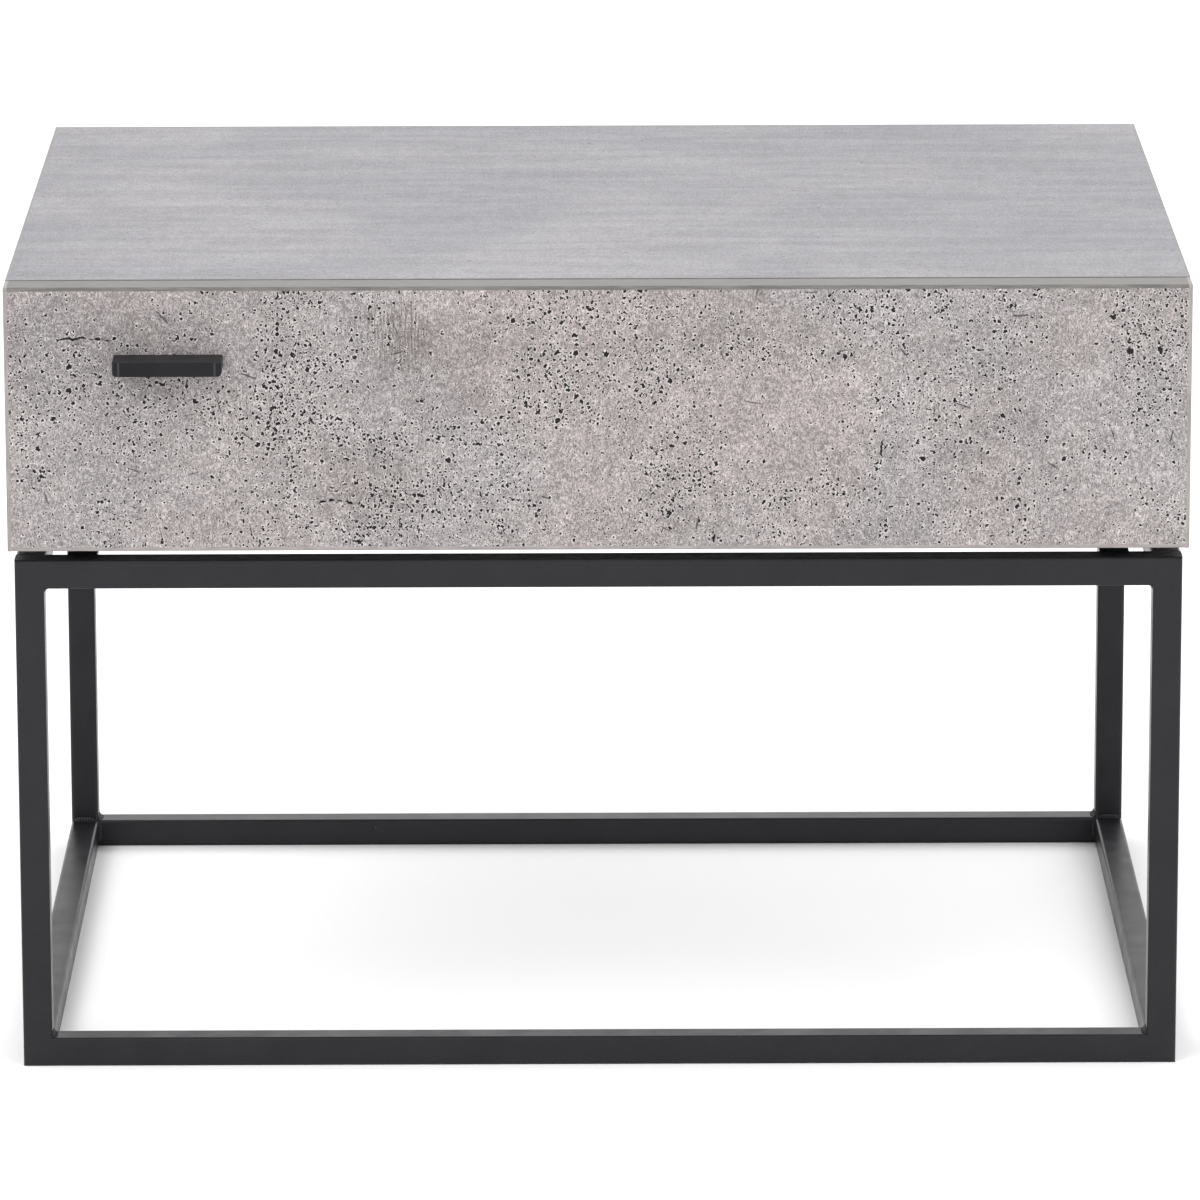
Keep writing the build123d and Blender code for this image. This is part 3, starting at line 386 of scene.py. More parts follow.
def concrete_ground(finish, sheet, cool, warm, seed, cloud=150.0, contrast=1.0):
    """Clouds of cool and warm grey with smudges and fine grain, and the grain alone."""
    moved = finish.shift(sheet, seed, (211.0, 97.0, 13.0))
    clouds = finish.spread(finish.noise(moved, cloud, 3.0, 0.62, 0.6), 0.36, 0.64)
    colour = finish.blend(clouds, cool, warm)
    grain = finish.noise(moved, 0.75, 2.0, 0.7)
    bend = 9.0
    bent = finish.vector("SCALE", finish.noise(moved, bend, 2.0, 0.5, colour=True), scale=bend)
    u, v, _ = finish.split(finish.vector("ADD", moved, bent))
    strokes = finish.noise(finish.join(u, finish.maths("MULTIPLY", v, 0.38), 0.0), 0.85, 2.0, 0.6)
    smudges = finish.noise(moved, cloud * 0.36, 4.0, 0.62, 0.4)
    amount = finish.vary(smudges, 1.0 - 0.07 * contrast, 1.0 + 0.07 * contrast)
    blots = finish.noise(moved, 13.0, 3.0, 0.65, 0.5)
    mottling = finish.noise(moved, 3.4, 3.0, 0.7)
    for layer, share in ((blots, 0.10), (mottling, 0.15), (strokes, 0.32), (grain, 0.34)):
        reach = share * contrast
        amount = finish.maths("MULTIPLY", amount, finish.spread(layer, 0.32, 0.68, 1.0 - reach, 1.0 + reach))
    return finish.shade(colour, amount), grain


def brushed_marks(finish, sheet, ragged, middle, reach):
    """Fine upright lines in a soft patch, where the concrete was brushed."""
    u, v, _ = finish.split(sheet)
    marks = finish.noise(finish.join(u, finish.maths("MULTIPLY", v, 0.07), 0.0), 0.85, 2.0, 0.6)
    dark_lines = finish.spread(marks, 0.46, 0.58)
    return finish.maths("MULTIPLY", dark_lines, patch(finish, sheet, ragged, middle, reach))


def hairline_crack(finish, sheet, middle, reach, upright):
    """A wavering crack, reach to each side of its middle, that thins and breaks along its length."""
    offset = finish.split(finish.vector("SUBTRACT", sheet, (*middle, 0.0)))
    lengthwise, sideways = (offset[1], offset[0]) if upright else (offset[0], offset[1])
    sway = finish.vary(finish.noise(sheet, 7.0, 2.0), -1.2, 1.2)
    off_line = finish.maths("ABSOLUTE", finish.maths("ADD", sideways, sway))
    elsewhere = finish.vector("ADD", sheet, (31.0, 7.0, 0.0))
    width = finish.spread(finish.noise(elsewhere, 3.0), 0.38, 0.52, 0.0, 0.75)
    along = finish.spread(finish.maths("ABSOLUTE", lengthwise), reach * 0.9, reach, 1.0, 0.0)
    line = finish.spread(finish.maths("SUBTRACT", off_line, width), -0.2, 0.15, 1.0, 0.0)
    return finish.maths("MULTIPLY", line, along)


def pitted_concrete(name, across, up, seed, swarms=(), stains=(), brushed=(), cracks=(), density=1.0,
                    backing_shade=None):
    """Concrete print with air holes in three sizes, gathered in swarms, brushed marks and hairline cracks.

    A swarm or a stain is its middle, its reach and how much it adds to the holes or to the brightness.
    A backing shade is the colour of the underside, where the board has no print; its dark colour is painted
    shade for the shadow under the box."""
    look = choices("concrete")
    finish = Finish(name)
    sheet = flat_sheet(finish, across, up)
    colour, grain = concrete_ground(finish, sheet, look.cool, look.warm, seed)
    ragged = ragged_reach(finish, sheet)
    shade = 1.0
    for middle, reach, gain in stains:
        shade = finish.maths("ADD", shade, patch(finish, sheet, ragged, middle, reach, gain))
    if stains:
        colour = finish.shade(colour, shade)
    crowd = finish.maths("MULTIPLY", finish.spread(finish.noise(sheet, 55.0, 2.0, 0.5, 0.5), 0.34, 0.62),
                         finish.spread(finish.noise(sheet, 15.0, 2.0, 0.6, 0.4), 0.36, 0.60, 0.25, 1.0))
    for middle, reach, gain in swarms:
        crowd = finish.maths("ADD", crowd, patch(finish, sheet, ragged, middle, reach, gain))
    crowd = finish.maths("MAXIMUM", crowd, 0.0)
    swell = finish.spread(crowd, 0.0, 1.2, 0.85, 1.15)
    kinds = (SPECKS, look.speck, seed + 1), (HOLES, look.hole, seed + 2), (CAVITIES, look.cavity, seed + 3)
    (specks, speck_halo), (holes, hole_halo), (cavities, cavity_halo) = (
        gathered_holes(finish, sheet, kind, width / MM, crowd, swell, density, own_seed)
        for kind, width, own_seed in kinds)
    scores, _ = air_holes(finish, sheet, 15.0, 3.0, 9.0, 0.22 * density, seed + 5, ragged=1.5,
                          drawn=(8.0, 14.0), lean=0.7)
    # Painted highlight: pale halos round the holes, standing in for light catching their edges.
    halos = finish.maths("MAXIMUM", finish.maths("MAXIMUM", hole_halo, cavity_halo),
                        finish.maths("MULTIPLY", speck_halo, 0.4))
    colour = finish.blend(finish.maths("MULTIPLY", halos, 0.80), colour, PAINTED_HALO)
    for middle, reach in brushed:
        hatch = brushed_marks(finish, sheet, ragged, middle, reach)
        colour = finish.blend(finish.maths("MULTIPLY", hatch, 0.62), colour, BRUSHED_DARK)
    dark = finish.maths("MAXIMUM", holes, cavities)
    for middle, reach, upright in cracks:
        dark = finish.maths("MAXIMUM", dark, hairline_crack(finish, sheet, middle, reach, upright))
    soft_dark = finish.maths("MAXIMUM", specks, finish.maths("MULTIPLY", scores, 0.75))
    colour = finish.blend(finish.maths("MULTIPLY", soft_dark, 0.94), colour, SPECK_DARK)
    colour = finish.blend(finish.maths("MULTIPLY", dark, 0.98), colour, look.pit)
    height = finish.maths("SUBTRACT", finish.maths("MULTIPLY", grain, 0.22), dark)
    # painted shade: the dark underside stands in for the shadow under the box
    if backing_shade is not None:
        fibre = finish.shade(backing_shade, finish.vary(grain, 0.75, 1.25))
        underneath = finish.maths("LESS_THAN", finish.split(finish.normal)[Z], -0.5)
        colour = finish.blend(underneath, colour, fibre)
    roughness = finish.vary(grain, 0.52, 0.66)
    return finish.close(colour, roughness, finish.bump(height, 0.08), specular=0.1)


def streaked_concrete(name, seed):
    """The table top's print: soft streaks along its width, mottling drawn out in depth, few small holes."""
    look = choices("concrete")
    finish = Finish(name)
    sheet = flat_sheet(finish, X, Y)
    colour, grain = concrete_ground(finish, sheet, look.top_cool, look.top_pale, seed, 190.0, 0.25)
    u, v, _ = finish.split(sheet)
    long = finish.join(finish.maths("MULTIPLY", u, 0.12), v, 0.0)
    dark_streak, pale_streak = 0.965, 1.035
    streaks = finish.vary(finish.noise(long, 16.0, 4.0, 0.62, 0.5), dark_streak, pale_streak)
    drags = finish.vary(finish.noise(long, 2.6, 3.0, 0.6), 0.985, 1.015)
    deep = finish.join(u, finish.maths("MULTIPLY", v, 0.28), 0.0)
    mottling = finish.spread(finish.noise(deep, 1.3, 2.0, 0.65), 0.32, 0.68, 0.87, 1.13)
    flecks = finish.spread(finish.noise(deep, 6.0, 3.0, 0.62, 0.6), 0.32, 0.68, 0.94, 1.06)
    colour = finish.shade(colour, finish.maths("MULTIPLY", streaks, drags))
    colour = finish.shade(colour, finish.maths("MULTIPLY", mottling, flecks))
    swarm = finish.spread(finish.noise(sheet, 70.0, 3.0, 0.6, 0.5), 0.44, 0.64)
    speck, hole = look.speck / MM, look.hole / MM
    chance = finish.maths("MULTIPLY", swarm, 0.45)
    specks, _ = air_holes(finish, sheet, 5.0, speck * 0.8, speck * 2.2, chance, seed + 1, ragged=1.2)
    holes, halos = air_holes(finish, sheet, 10.0, hole * 0.8, hole * 2.0, chance, seed + 2, ragged=2.0)
    # painted highlight: faint pale halos round the top's holes
    colour = finish.blend(finish.maths("MULTIPLY", halos, 0.35), colour, TOP_PAINTED_HALO)
    dark = finish.maths("MAXIMUM", finish.maths("MULTIPLY", specks, 0.55),
                        finish.maths("MULTIPLY", holes, 0.75))
    colour = finish.blend(dark, colour, TOP_HOLE)
    height = finish.maths("SUBTRACT", finish.maths("MULTIPLY", grain, 0.2), holes)
    roughness = finish.spread(streaks, dark_streak, pale_streak, 0.52, 0.44)
    return finish.close(colour, roughness, finish.bump(height, 0.05), specular=0.3)


# ---------------------------------------------------------------- bands, boards, coats, metals and plastics


DUST = (0.16, 0.16, 0.17)
# painted highlight: lighter upright lines on the pull's front where its rounded corners would catch the light
PAINTED_GLINT = (0.060, 0.060, 0.066)
BEECH_FLECK = (0.25, 0.13, 0.06)
GLINT_SHOWS = 0.6
DUST_CELL = 9.0  # mm
CHIP_WIDTH = 1.8  # mm
CHIP_ROUGHNESS = 0.85


def banded_edge(name, base, along, seed, grain_share=0.16):
    """Edge band: plain plastic with fine streaks along the board."""
    finish = Finish(name)
    stretched = finish.draw_out(finish.split(finish.place), along, 0.12)
    streak = finish.noise(finish.shift(stretched, seed, (1.0, 1.0, 1.0)), 1.6, 3.0, 0.6)
    cloud = finish.noise(finish.place, 38.0, 3.0, 0.6)
    grain = finish.noise(finish.place, 0.8, 2.0, 0.6)
    amount = finish.maths("MULTIPLY", finish.vary(streak, 1.0 - grain_share, 1.0 + grain_share),
                          finish.vary(cloud, 0.93, 1.07))
    amount = finish.maths("MULTIPLY", amount, finish.vary(grain, 0.95, 1.05))
    roughness = finish.vary(streak, 0.44, 0.56)
    return finish.close(finish.shade(base, amount), roughness, finish.bump(grain, 0.02), specular=0.42)


def cored_board(name, facing, across, up, thin, seed):
    """Faced chipboard: melamine on its faces, chips where it is cut or bored."""
    look = choices("drawer")
    finish = Finish(name)
    sheet = flat_sheet(finish, across, up)
    moved = finish.shift(sheet, seed, (31.0, 17.0, 0.0))
    grain = finish.noise(moved, 0.7, 2.0, 0.6)
    cloud = finish.noise(moved, 60.0, 3.0, 0.6)
    amount = finish.maths("MULTIPLY", finish.vary(grain, 0.965, 1.035), finish.vary(cloud, 0.97, 1.03))
    faced = finish.shade(facing, amount)
    tone = finish.split(finish.cells(finish.place, CHIP_WIDTH)["Color"])
    cored = finish.shade(look.chip, finish.spread(tone[0], 0.0, 1.0, 0.62, 1.28, smooth=False))
    facing_way = finish.maths("ABSOLUTE", finish.split(finish.normal)[thin])
    core = finish.spread(facing_way, 0.45, 0.75, 1.0, 0.0)
    colour = finish.blend(core, faced, cored)
    smooth = finish.join(*([finish.vary(grain, 0.44, 0.54)] * 3))
    roughness = finish.split(finish.blend(core, smooth, (CHIP_ROUGHNESS,) * 3))[0]
    chips = finish.maths("MULTIPLY", tone[1], core)
    height = finish.maths("ADD", finish.maths("MULTIPLY", grain, 0.15), chips)
    return finish.close(colour, roughness, finish.bump(height, 0.08), specular=0.4)


def powder_coat(name, base, grain_mm, roughness=(0.28, 0.40), specular=0.28, seed=0.0, glinting=()):
    """Matt powder coat: fine orange peel, cloudy sheen, a few dust specks.

    Each glinting upright line on the front is a painted highlight where a rounded corner would catch the
    light; it has its place along X and half its width, in millimetres."""
    finish = Finish(name)
    place = finish.shift(finish.place, seed, (71.0, 29.0, 53.0))
    peel = finish.noise(place, grain_mm, 2.0, 0.55)
    broad = finish.noise(place, 26.0, 4.0, 0.6)
    long = finish.noise(place, 150.0, 2.0, 0.5)
    amount = finish.maths("MULTIPLY", finish.vary(broad, 0.86, 1.16),
                          finish.spread(peel, 0.25, 0.75, 0.80, 1.22))
    colour = finish.shade(base, finish.maths("MULTIPLY", amount, finish.spread(long, 0.35, 0.65, 0.94, 1.06)))
    dust = finish.cells(place, DUST_CELL)
    seldom = finish.maths("LESS_THAN", finish.split(dust["Color"])[0], 0.10)
    speck = finish.maths("MULTIPLY", finish.spread(dust["Distance"], 0.028, 0.052, 1.0, 0.0), seldom)
    colour = finish.blend(finish.maths("MULTIPLY", speck, 0.5), colour, DUST)
    in_front = finish.maths("LESS_THAN", finish.split(finish.normal)[Y], -0.6)
    # painted highlight lines on the front face, standing in for light on the rounded corners
    for x, half_width in glinting:
        beside = finish.maths("ABSOLUTE", finish.maths("SUBTRACT", finish.split(finish.place)[X], x))
        line = finish.spread(beside, half_width * 0.3, half_width, GLINT_SHOWS, 0.0)
        colour = finish.blend(finish.maths("MULTIPLY", line, in_front), colour, PAINTED_GLINT)
    sheen = finish.maths("ADD", finish.maths("MULTIPLY", broad, 0.6), finish.maths("MULTIPLY", peel, 0.4))
    height = finish.maths("ADD", peel, finish.maths("MULTIPLY", speck, 0.8))
    return finish.close(colour, finish.spread(sheen, 0.35, 0.65, *roughness), finish.bump(height, 0.035),
                        specular=specular)


def plated_steel(name, base, roughness, along=None, seed=0.0):
    """Bright zinc plating: faint yellowish crystal patches and fine rolling lines."""
    finish = Finish(name)
    place = finish.shift(finish.place, seed, (1.0, 2.0, 3.0))
    lines = finish.noise(finish.draw_out(finish.split(place), along, 0.03), 0.5, 3.0, 0.6)
    patches = finish.noise(place, 7.0, 3.0, 0.6)
    amount = finish.maths("MULTIPLY", finish.vary(lines, 0.9, 1.08), finish.vary(patches, 0.88, 1.1))
    yellower = tuple(part * share for part, share in zip(base, (1.03, 1.0, 0.93)))
    tint = finish.blend(finish.spread(patches, 0.45, 0.7), base, yellower)
    rough = finish.vary(patches, roughness * 0.75, roughness * 1.25)
    return finish.close(finish.shade(tint, amount), rough, finish.bump(lines, 0.012), metallic=1.0)


def cast_metal(name, base, roughness, grain_mm):
    """Die-cast metal: grainy, a little patchy."""
    finish = Finish(name)
    grain = finish.noise(finish.place, grain_mm, 3.0, 0.65)
    patches = finish.noise(finish.place, 3.5, 2.0, 0.6)
    amount = finish.maths("MULTIPLY", finish.vary(grain, 0.8, 1.12), finish.vary(patches, 0.86, 1.08))
    rough = finish.vary(patches, roughness * 0.85, roughness * 1.2)
    return finish.close(finish.shade(base, amount), rough, finish.bump(grain, 0.03), metallic=1.0)


def raw_beech(name):
    """Fluted beech dowel: long grain with short dark flecks."""
    look = choices("drawer")
    finish = Finish(name)
    grain = finish.noise(finish.draw_out(finish.split(finish.place), X, 0.2), 0.6, 3.0, 0.6)
    flecks = finish.spread(finish.noise(finish.place, 0.9, 2.0, 0.6), 0.62, 0.72)
    colour = finish.shade(look.beech, finish.vary(grain, 0.8, 1.15))
    colour = finish.blend(finish.maths("MULTIPLY", flecks, 0.45), colour, BEECH_FLECK)
    return finish.close(colour, finish.vary(grain, 0.6, 0.75), finish.bump(grain, 0.05))


def moulded(name, base, roughness, specular=0.5):
    """Moulded plastic or rubber with a fine spark-eroded skin."""
    finish = Finish(name)
    skin = finish.noise(finish.place, 0.35, 2.0, 0.6)
    cloud = finish.noise(finish.place, 5.0, 2.0, 0.5)
    amount = finish.maths("MULTIPLY", finish.vary(skin, 0.86, 1.14), finish.vary(cloud, 0.94, 1.06))
    rough = finish.vary(skin, roughness * 0.9, roughness * 1.1)
    return finish.close(finish.shade(base, amount), rough, finish.bump(skin, 0.02), specular=specular)


def give(material, *names):
    """Puts a finish on CAD nodes."""
    for name in names:
        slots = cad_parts[name].data.materials
        slots.clear()
        slots.append(material)


def pair(name):
    """The left and the right node of a kind."""
    return [f"{name}_{side}" for side in SIDES]


# ---------------------------------------------------------------- welds


ARC_STEPS = 7  # faces across a bead's round
RINGS_TO_A_RIPPLE = 5
LEAST_RINGS = 8
RIPPLE_SHARE = 0.10  # how much a ripple swells the bead
WAVER_SHARE = 0.03  # how much each ring strays from its size
END_SHARE = 0.45  # size of a bead's very end
END_SLOPE = 3.0  # how fast a bead grows from its end to its full size
ROOT_SHARE = 0.2  # how far a bead reaches into the corner
HOLLOW_SHARE = 0.42  # how much a bead's face sinks at its middle
BEAD_INSET_MM = 1.4  # from the end of a corner line to the bead's end
WELD_SEED = 12


def lay_bead(mesh, start, end, side_a, side_b, leg, ripple, draw):
    """A closed, rippled fillet of weld in the corner along start..end, between two surfaces."""
    path = end - start
    steps = max(LEAST_RINGS, round(path.length / (ripple / RINGS_TO_A_RIPPLE)))
    rings = []
    phase = draw.uniform(0.0, math.tau)
    for k in range(steps + 1):
        share = k / steps
        wave = RIPPLE_SHARE * math.sin(share * path.length / ripple * math.tau + phase)
        swell = 1.0 + wave + draw.uniform(-WAVER_SHARE, WAVER_SHARE)
        swell *= min(1.0, END_SHARE + END_SLOPE * min(share, 1.0 - share))
        middle = start + path * share
        ring = [mesh.verts.new(middle - (side_a + side_b) * leg * ROOT_SHARE)]
        for m in range(ARC_STEPS + 1):
            turn = m / ARC_STEPS * math.pi / 2
            bulge = 1.0 - HOLLOW_SHARE * math.sin(2 * turn)
            out = side_a * math.cos(turn) + side_b * math.sin(turn)
            ring.append(mesh.verts.new(middle + out * leg * swell * bulge))
        rings.append(ring)
    for near, far in zip(rings, rings[1:]):
        for a in range(len(near)):
            b = (a + 1) % len(near)
            mesh.faces.new((near[a], near[b], far[b], far[a]))
    mesh.faces.new(rings[0][::-1])
    mesh.faces.new(rings[-1])


def weld_lines():
    """Each inner corner line of the frame, with the two directions that its surfaces run in."""
    tube = LEG_HIGH.x - LEG_LOW.x
    z_low, z_high = tube, LEG_HIGH.z - tube
    for side in (-1, 1):
        into_x = Vector((-side, 0, 0))
        x = side * abs(LEG_HIGH.x)
        for level, into_z in ((z_low, Vector((0, 0, 1))), (z_high, Vector((0, 0, -1)))):
            for y, out_y in ((LEG_HIGH.y, -1), (REAR_LEG_LOW.y, 1)):
                into_y = Vector((0, -out_y, 0))
                corner = Vector((x, y, level))
                yield Vector((x, y + out_y * tube, level)), corner, into_x, into_z
                yield corner, Vector((x, y, level - into_z.z * tube)), into_x, into_y
                yield corner, Vector((x + side * tube, y, level)), into_z, into_y


def build_welds(material):
    """All fillet welds as one piece of many beads, which rides on the frame."""
    look = choices("steel")
    draw = random.Random(WELD_SEED)
    mesh = bmesh.new()
    for start, end, side_a, side_b in weld_lines():
        inset = (end - start).normalized() * BEAD_INSET_MM * MM
        lay_bead(mesh, start + inset, end - inset, side_a, side_b, look.bead, look.ripple, draw)
    bmesh.ops.recalc_face_normals(mesh, faces=mesh.faces)
    data = bpy.data.meshes.new("corner_welds")
    mesh.to_mesh(data)
    mesh.free()
    for face in data.polygons:
        face.use_smooth = True
    data.materials.append(material)
    piece = bpy.data.objects.new("corner_welds", data)
    bpy.context.scene.collection.objects.link(piece)
    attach(piece, "case_and_frame")


# ---------------------------------------------------------------- stage


# The lights' places and sizes and the camera's place are in metres.
LIGHT_AIM = (0.0, 0.0, 0.3)
KEY_PLACE, KEY_SIZE = (-1.6, -1.7, 2.1), (1.6, 1.2)
FILL_PLACE, FILL_SIZE = (2.2, -1.6, 1.3), (1.6, 1.6)
BACK_PLACE, BACK_SIZE = (0.4, 2.4, 2.2), (2.2, 1.4)
UNDER_DROP, UNDER_SIZE = 0.02, (0.5, 0.36)

CAMERA_PLACE = (-0.0128, -4.2959, 1.2373)
CAMERA_PITCH = 0.2380  # radians down from level
CAMERA_TURN = -0.0033  # radians to the left of straight ahead
CAMERA_TILT = 0.0024  # radians clockwise round the line of sight
LENS_MM = 247.8
SENSOR_MM = 36.0
VIEW_END = 60.0  # metres


def lay_floor(look):
    """A wide pale floor with a faint, even texture."""
    mesh = bmesh.new()
    bmesh.ops.create_grid(mesh, x_segments=8, y_segments=8, size=look.floor_width / 2)
    data = bpy.data.meshes.new("studio_floor")
    mesh.to_mesh(data)
    mesh.free()
    floor = bpy.data.objects.new("studio_floor", data)
    finish = Finish("floor_paint")
    cloud = finish.noise(finish.place, 900.0, 2.0, 0.5)
    colour = finish.shade(look.floor, finish.vary(cloud, 0.995, 1.0))
    data.materials.append(finish.close(colour, 0.9, None, specular=0.1))
    bpy.context.scene.collection.objects.link(floor)


def hang_light(name, power, place, size, aim=LIGHT_AIM):
    """A soft rectangular light aimed at a point. The camera doesn't see it."""
    data = bpy.data.lights.new(name, "AREA")
    data.shape = "RECTANGLE"
    data.size, data.size_y = size
    data.energy = power
    lamp = bpy.data.objects.new(name, data)
    lamp.location = place
    lamp.visible_camera = False
    lamp.rotation_euler = (Vector(aim) - Vector(place)).to_track_quat("-Z", "Y").to_euler()
    bpy.context.scene.collection.objects.link(lamp)


def light_stage(look):
    """An even white surround, a key light at the upper left, and weaker ones right, behind and below."""
    world = bpy.data.worlds.new("white_surround")
    world.use_nodes = True
    background = world.node_tree.nodes["Background"]
    background.inputs["Color"].default_value = (1.0, 1.0, 1.0, 1.0)
    background.inputs["Strength"].default_value = look.surround
    bpy.context.scene.world = world
    bpy.context.scene.view_settings.view_transform = "Standard"
    hang_light("key_light", look.key, KEY_PLACE, KEY_SIZE)
    hang_light("fill_light", look.fill, FILL_PLACE, FILL_SIZE)
    hang_light("back_light", look.back, BACK_PLACE, BACK_SIZE)
    box_low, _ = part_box("bottom_panel")
    below_box = (0.0, 0.0, box_low[Z] - UNDER_DROP)
    hang_light("under_light", look.under, below_box, UNDER_SIZE, aim=(0.0, 0.0, 0.0))


def aim_camera():
    """A long lens far in front, looking down a little."""
    pitch, turn, tilt = CAMERA_PITCH, CAMERA_TURN, CAMERA_TILT
    right = Vector((math.cos(turn), math.sin(turn), 0.0))
    ahead = Vector((-math.cos(pitch) * math.sin(turn), math.cos(pitch) * math.cos(turn), -math.sin(pitch)))
    above = Vector((-math.sin(pitch) * math.sin(turn), math.sin(pitch) * math.cos(turn), math.cos(pitch)))
    x_axis = right * math.cos(tilt) - above * math.sin(tilt)
    y_axis = right * math.sin(tilt) + above * math.cos(tilt)
    data = bpy.data.cameras.new("front_camera")
    data.lens = LENS_MM
    data.sensor_width = SENSOR_MM
    data.clip_end = VIEW_END
    camera = bpy.data.objects.new("front_camera", data)
    turned = Matrix((x_axis, y_axis, -ahead)).transposed().to_4x4()
    camera.matrix_world = Matrix.Translation(CAMERA_PLACE) @ turned
    bpy.context.scene.collection.objects.link(camera)
    bpy.context.scene.camera = camera


# ---------------------------------------------------------------- operators


# Linear colours of the edge bands and fittings.
TOP_BAND = (0.200, 0.189, 0.184)
FRONT_BAND = (0.262, 0.238, 0.231)
CASE_BAND = (0.258, 0.236, 0.229)
SPACER_BLACK = (0.02, 0.02, 0.021)
OXIDE_BLACK = (0.02, 0.02, 0.021)
BALL_STEEL = (0.7, 0.7, 0.71)
CAM_ALLOY = (0.58, 0.58, 0.56)
BRASS = (0.72, 0.53, 0.24)
RUBBER_GREY = (0.5, 0.5, 0.48)

# The drawer front's print, in millimetres along X and Z: the middle and the reach of each swarm of air holes,
# and how much it adds to the crowd of holes, or takes away.
FRONT_SWARMS = (
    ((-108.0, 294.0), (20.0, 20.0), 1.10),
    ((-113.0, 328.0), (24.0, 8.0), 0.40),
    ((-157.0, 385.0), (16.0, 22.0), 0.70),
    ((-157.0, 354.0), (17.0, 24.0), 0.80),
    ((-80.0, 308.0), (14.0, 9.0), 0.50),
    ((-43.0, 312.0), (11.0, 14.0), 0.40),
    ((-50.0, 397.0), (10.0, 14.0), 0.40),
    ((-18.0, 352.0), (18.0, 16.0), 0.45),
    ((-205.0, 330.0), (70.0, 42.0), 0.20),
    ((-112.0, 354.0), (22.0, 16.0), -0.60),
    ((-252.0, 396.0), (34.0, 14.0), -0.30),
    ((30.0, 367.0), (15.0, 11.0), 0.50),
    ((84.0, 376.0), (19.0, 14.0), 0.45),
    ((139.0, 398.0), (17.0, 10.0), 0.50),
    ((176.0, 358.0), (32.0, 17.0), 0.35),
    ((279.0, 374.0), (20.0, 32.0), 0.50),
    ((32.0, 300.0), (16.0, 11.0), 0.50),
    ((81.0, 301.0), (16.0, 18.0), 0.40),
    ((2.0, 292.0), (9.0, 6.0), 0.50),
    ((172.0, 300.0), (13.0, 17.0), 0.30),
    ((105.0, 335.0), (32.0, 22.0), -0.50),
    ((255.0, 305.0), (42.0, 26.0), -0.50),
)
# Its darker and paler patches, and how much each adds to the brightness.
FRONT_STAINS = (
    ((-272.0, 384.0), (46.0, 30.0), -0.14),
    ((70.0, 385.0), (34.0, 9.0), -0.13),
    ((-72.0, 368.0), (30.0, 26.0), -0.10),
    ((206.0, 330.0), (24.0, 28.0), -0.09),
    ((184.0, 313.0), (12.0, 9.0), -0.09),
    ((138.0, 398.0), (12.0, 10.0), 0.10),
    ((-122.0, 342.0), (18.0, 11.0), 0.12),
    ((-96.0, 402.0), (22.0, 10.0), 0.13),
    ((150.0, 352.0), (32.0, 20.0), 0.09),
    ((-112.0, 306.0), (22.0, 22.0), -0.12),
    ((255.0, 300.0), (50.0, 30.0), 0.07),
)
# The patch of brushed marks, and each crack's middle, its reach and whether it is upright.
FRONT_BRUSHED = (((-101.0, 386.0), (17.0, 19.0)),)
FRONT_CRACKS = (
    ((-260.0, 383.5), 14.0, False),
    ((-133.0, 299.0), 9.0, False),
    ((144.0, 326.0), 5.5, True),
    ((59.0, 279.5), 4.0, True),
)


class SetStage(bpy.types.Operator):
    """Lay the pale floor, hang the soft lights and aim the camera"""

    bl_idname = "side_table.set_stage"
    bl_label = "Studio Stage"
    bl_options = {"REGISTER", "UNDO"}

    def execute(self, context):
        look = choices("stage")
        lay_floor(look)
        light_stage(look)
        aim_camera()
        return {"FINISHED"}


class FinishTop(bpy.types.Operator):
    """Lay the streaked concrete print on the table top and its edge bands"""

    bl_idname = "side_table.finish_top"
    bl_label = "Table Top"
    bl_options = {"REGISTER", "UNDO"}

    def execute(self, context):
        give(streaked_concrete("top_concrete_print", 3), "top_panel")
        give(banded_edge("top_edge_band", TOP_BAND, X, 5.0), "top_panel_bands")
        return {"FINISHED"}


class FinishFront(bpy.types.Operator):
    """Lay the pitted concrete print on the drawer front and band its four edges"""

    bl_idname = "side_table.finish_front"
    bl_label = "Drawer Front"
    bl_options = {"REGISTER", "UNDO"}

    def execute(self, context):
        look = choices("concrete")
        give(pitted_concrete("front_concrete_print", X, Z, 1, FRONT_SWARMS, FRONT_STAINS, FRONT_BRUSHED,
                             FRONT_CRACKS), "drawer_front")
        give(banded_edge("front_plain_band", look.band, X, 9.0, grain_share=0.22), "front_band_top")
        give(banded_edge("front_side_band", FRONT_BAND, Z, 2.0), *pair("front_band"))
        give(banded_edge("front_lower_band", FRONT_BAND, X, 7.0), "front_band_bottom")
        return {"FINISHED"}


class FinishCase(bpy.types.Operator):
    """Lay the concrete print on the sides, back and bottom of the case"""

    bl_idname = "side_table.finish_case"
    bl_label = "Case"
    bl_options = {"REGISTER", "UNDO"}

    def execute(self, context):
        look = choices("concrete")
        give(pitted_concrete("side_concrete_print", Y, Z, 4, density=0.8), *pair("side_panel"))
        give(pitted_concrete("back_concrete_print", X, Z, 6, density=0.7), "back_panel")
        give(pitted_concrete("bottom_concrete_print", X, Y, 8, density=0.6, backing_shade=look.backing_shade),
             "bottom_panel")
        give(banded_edge("case_edge_band", CASE_BAND, Z, 3.0), "side_panel_bands")
        give(banded_edge("case_floor_band", CASE_BAND, X, 4.0), "bottom_panel_band")
        return {"FINISHED"}


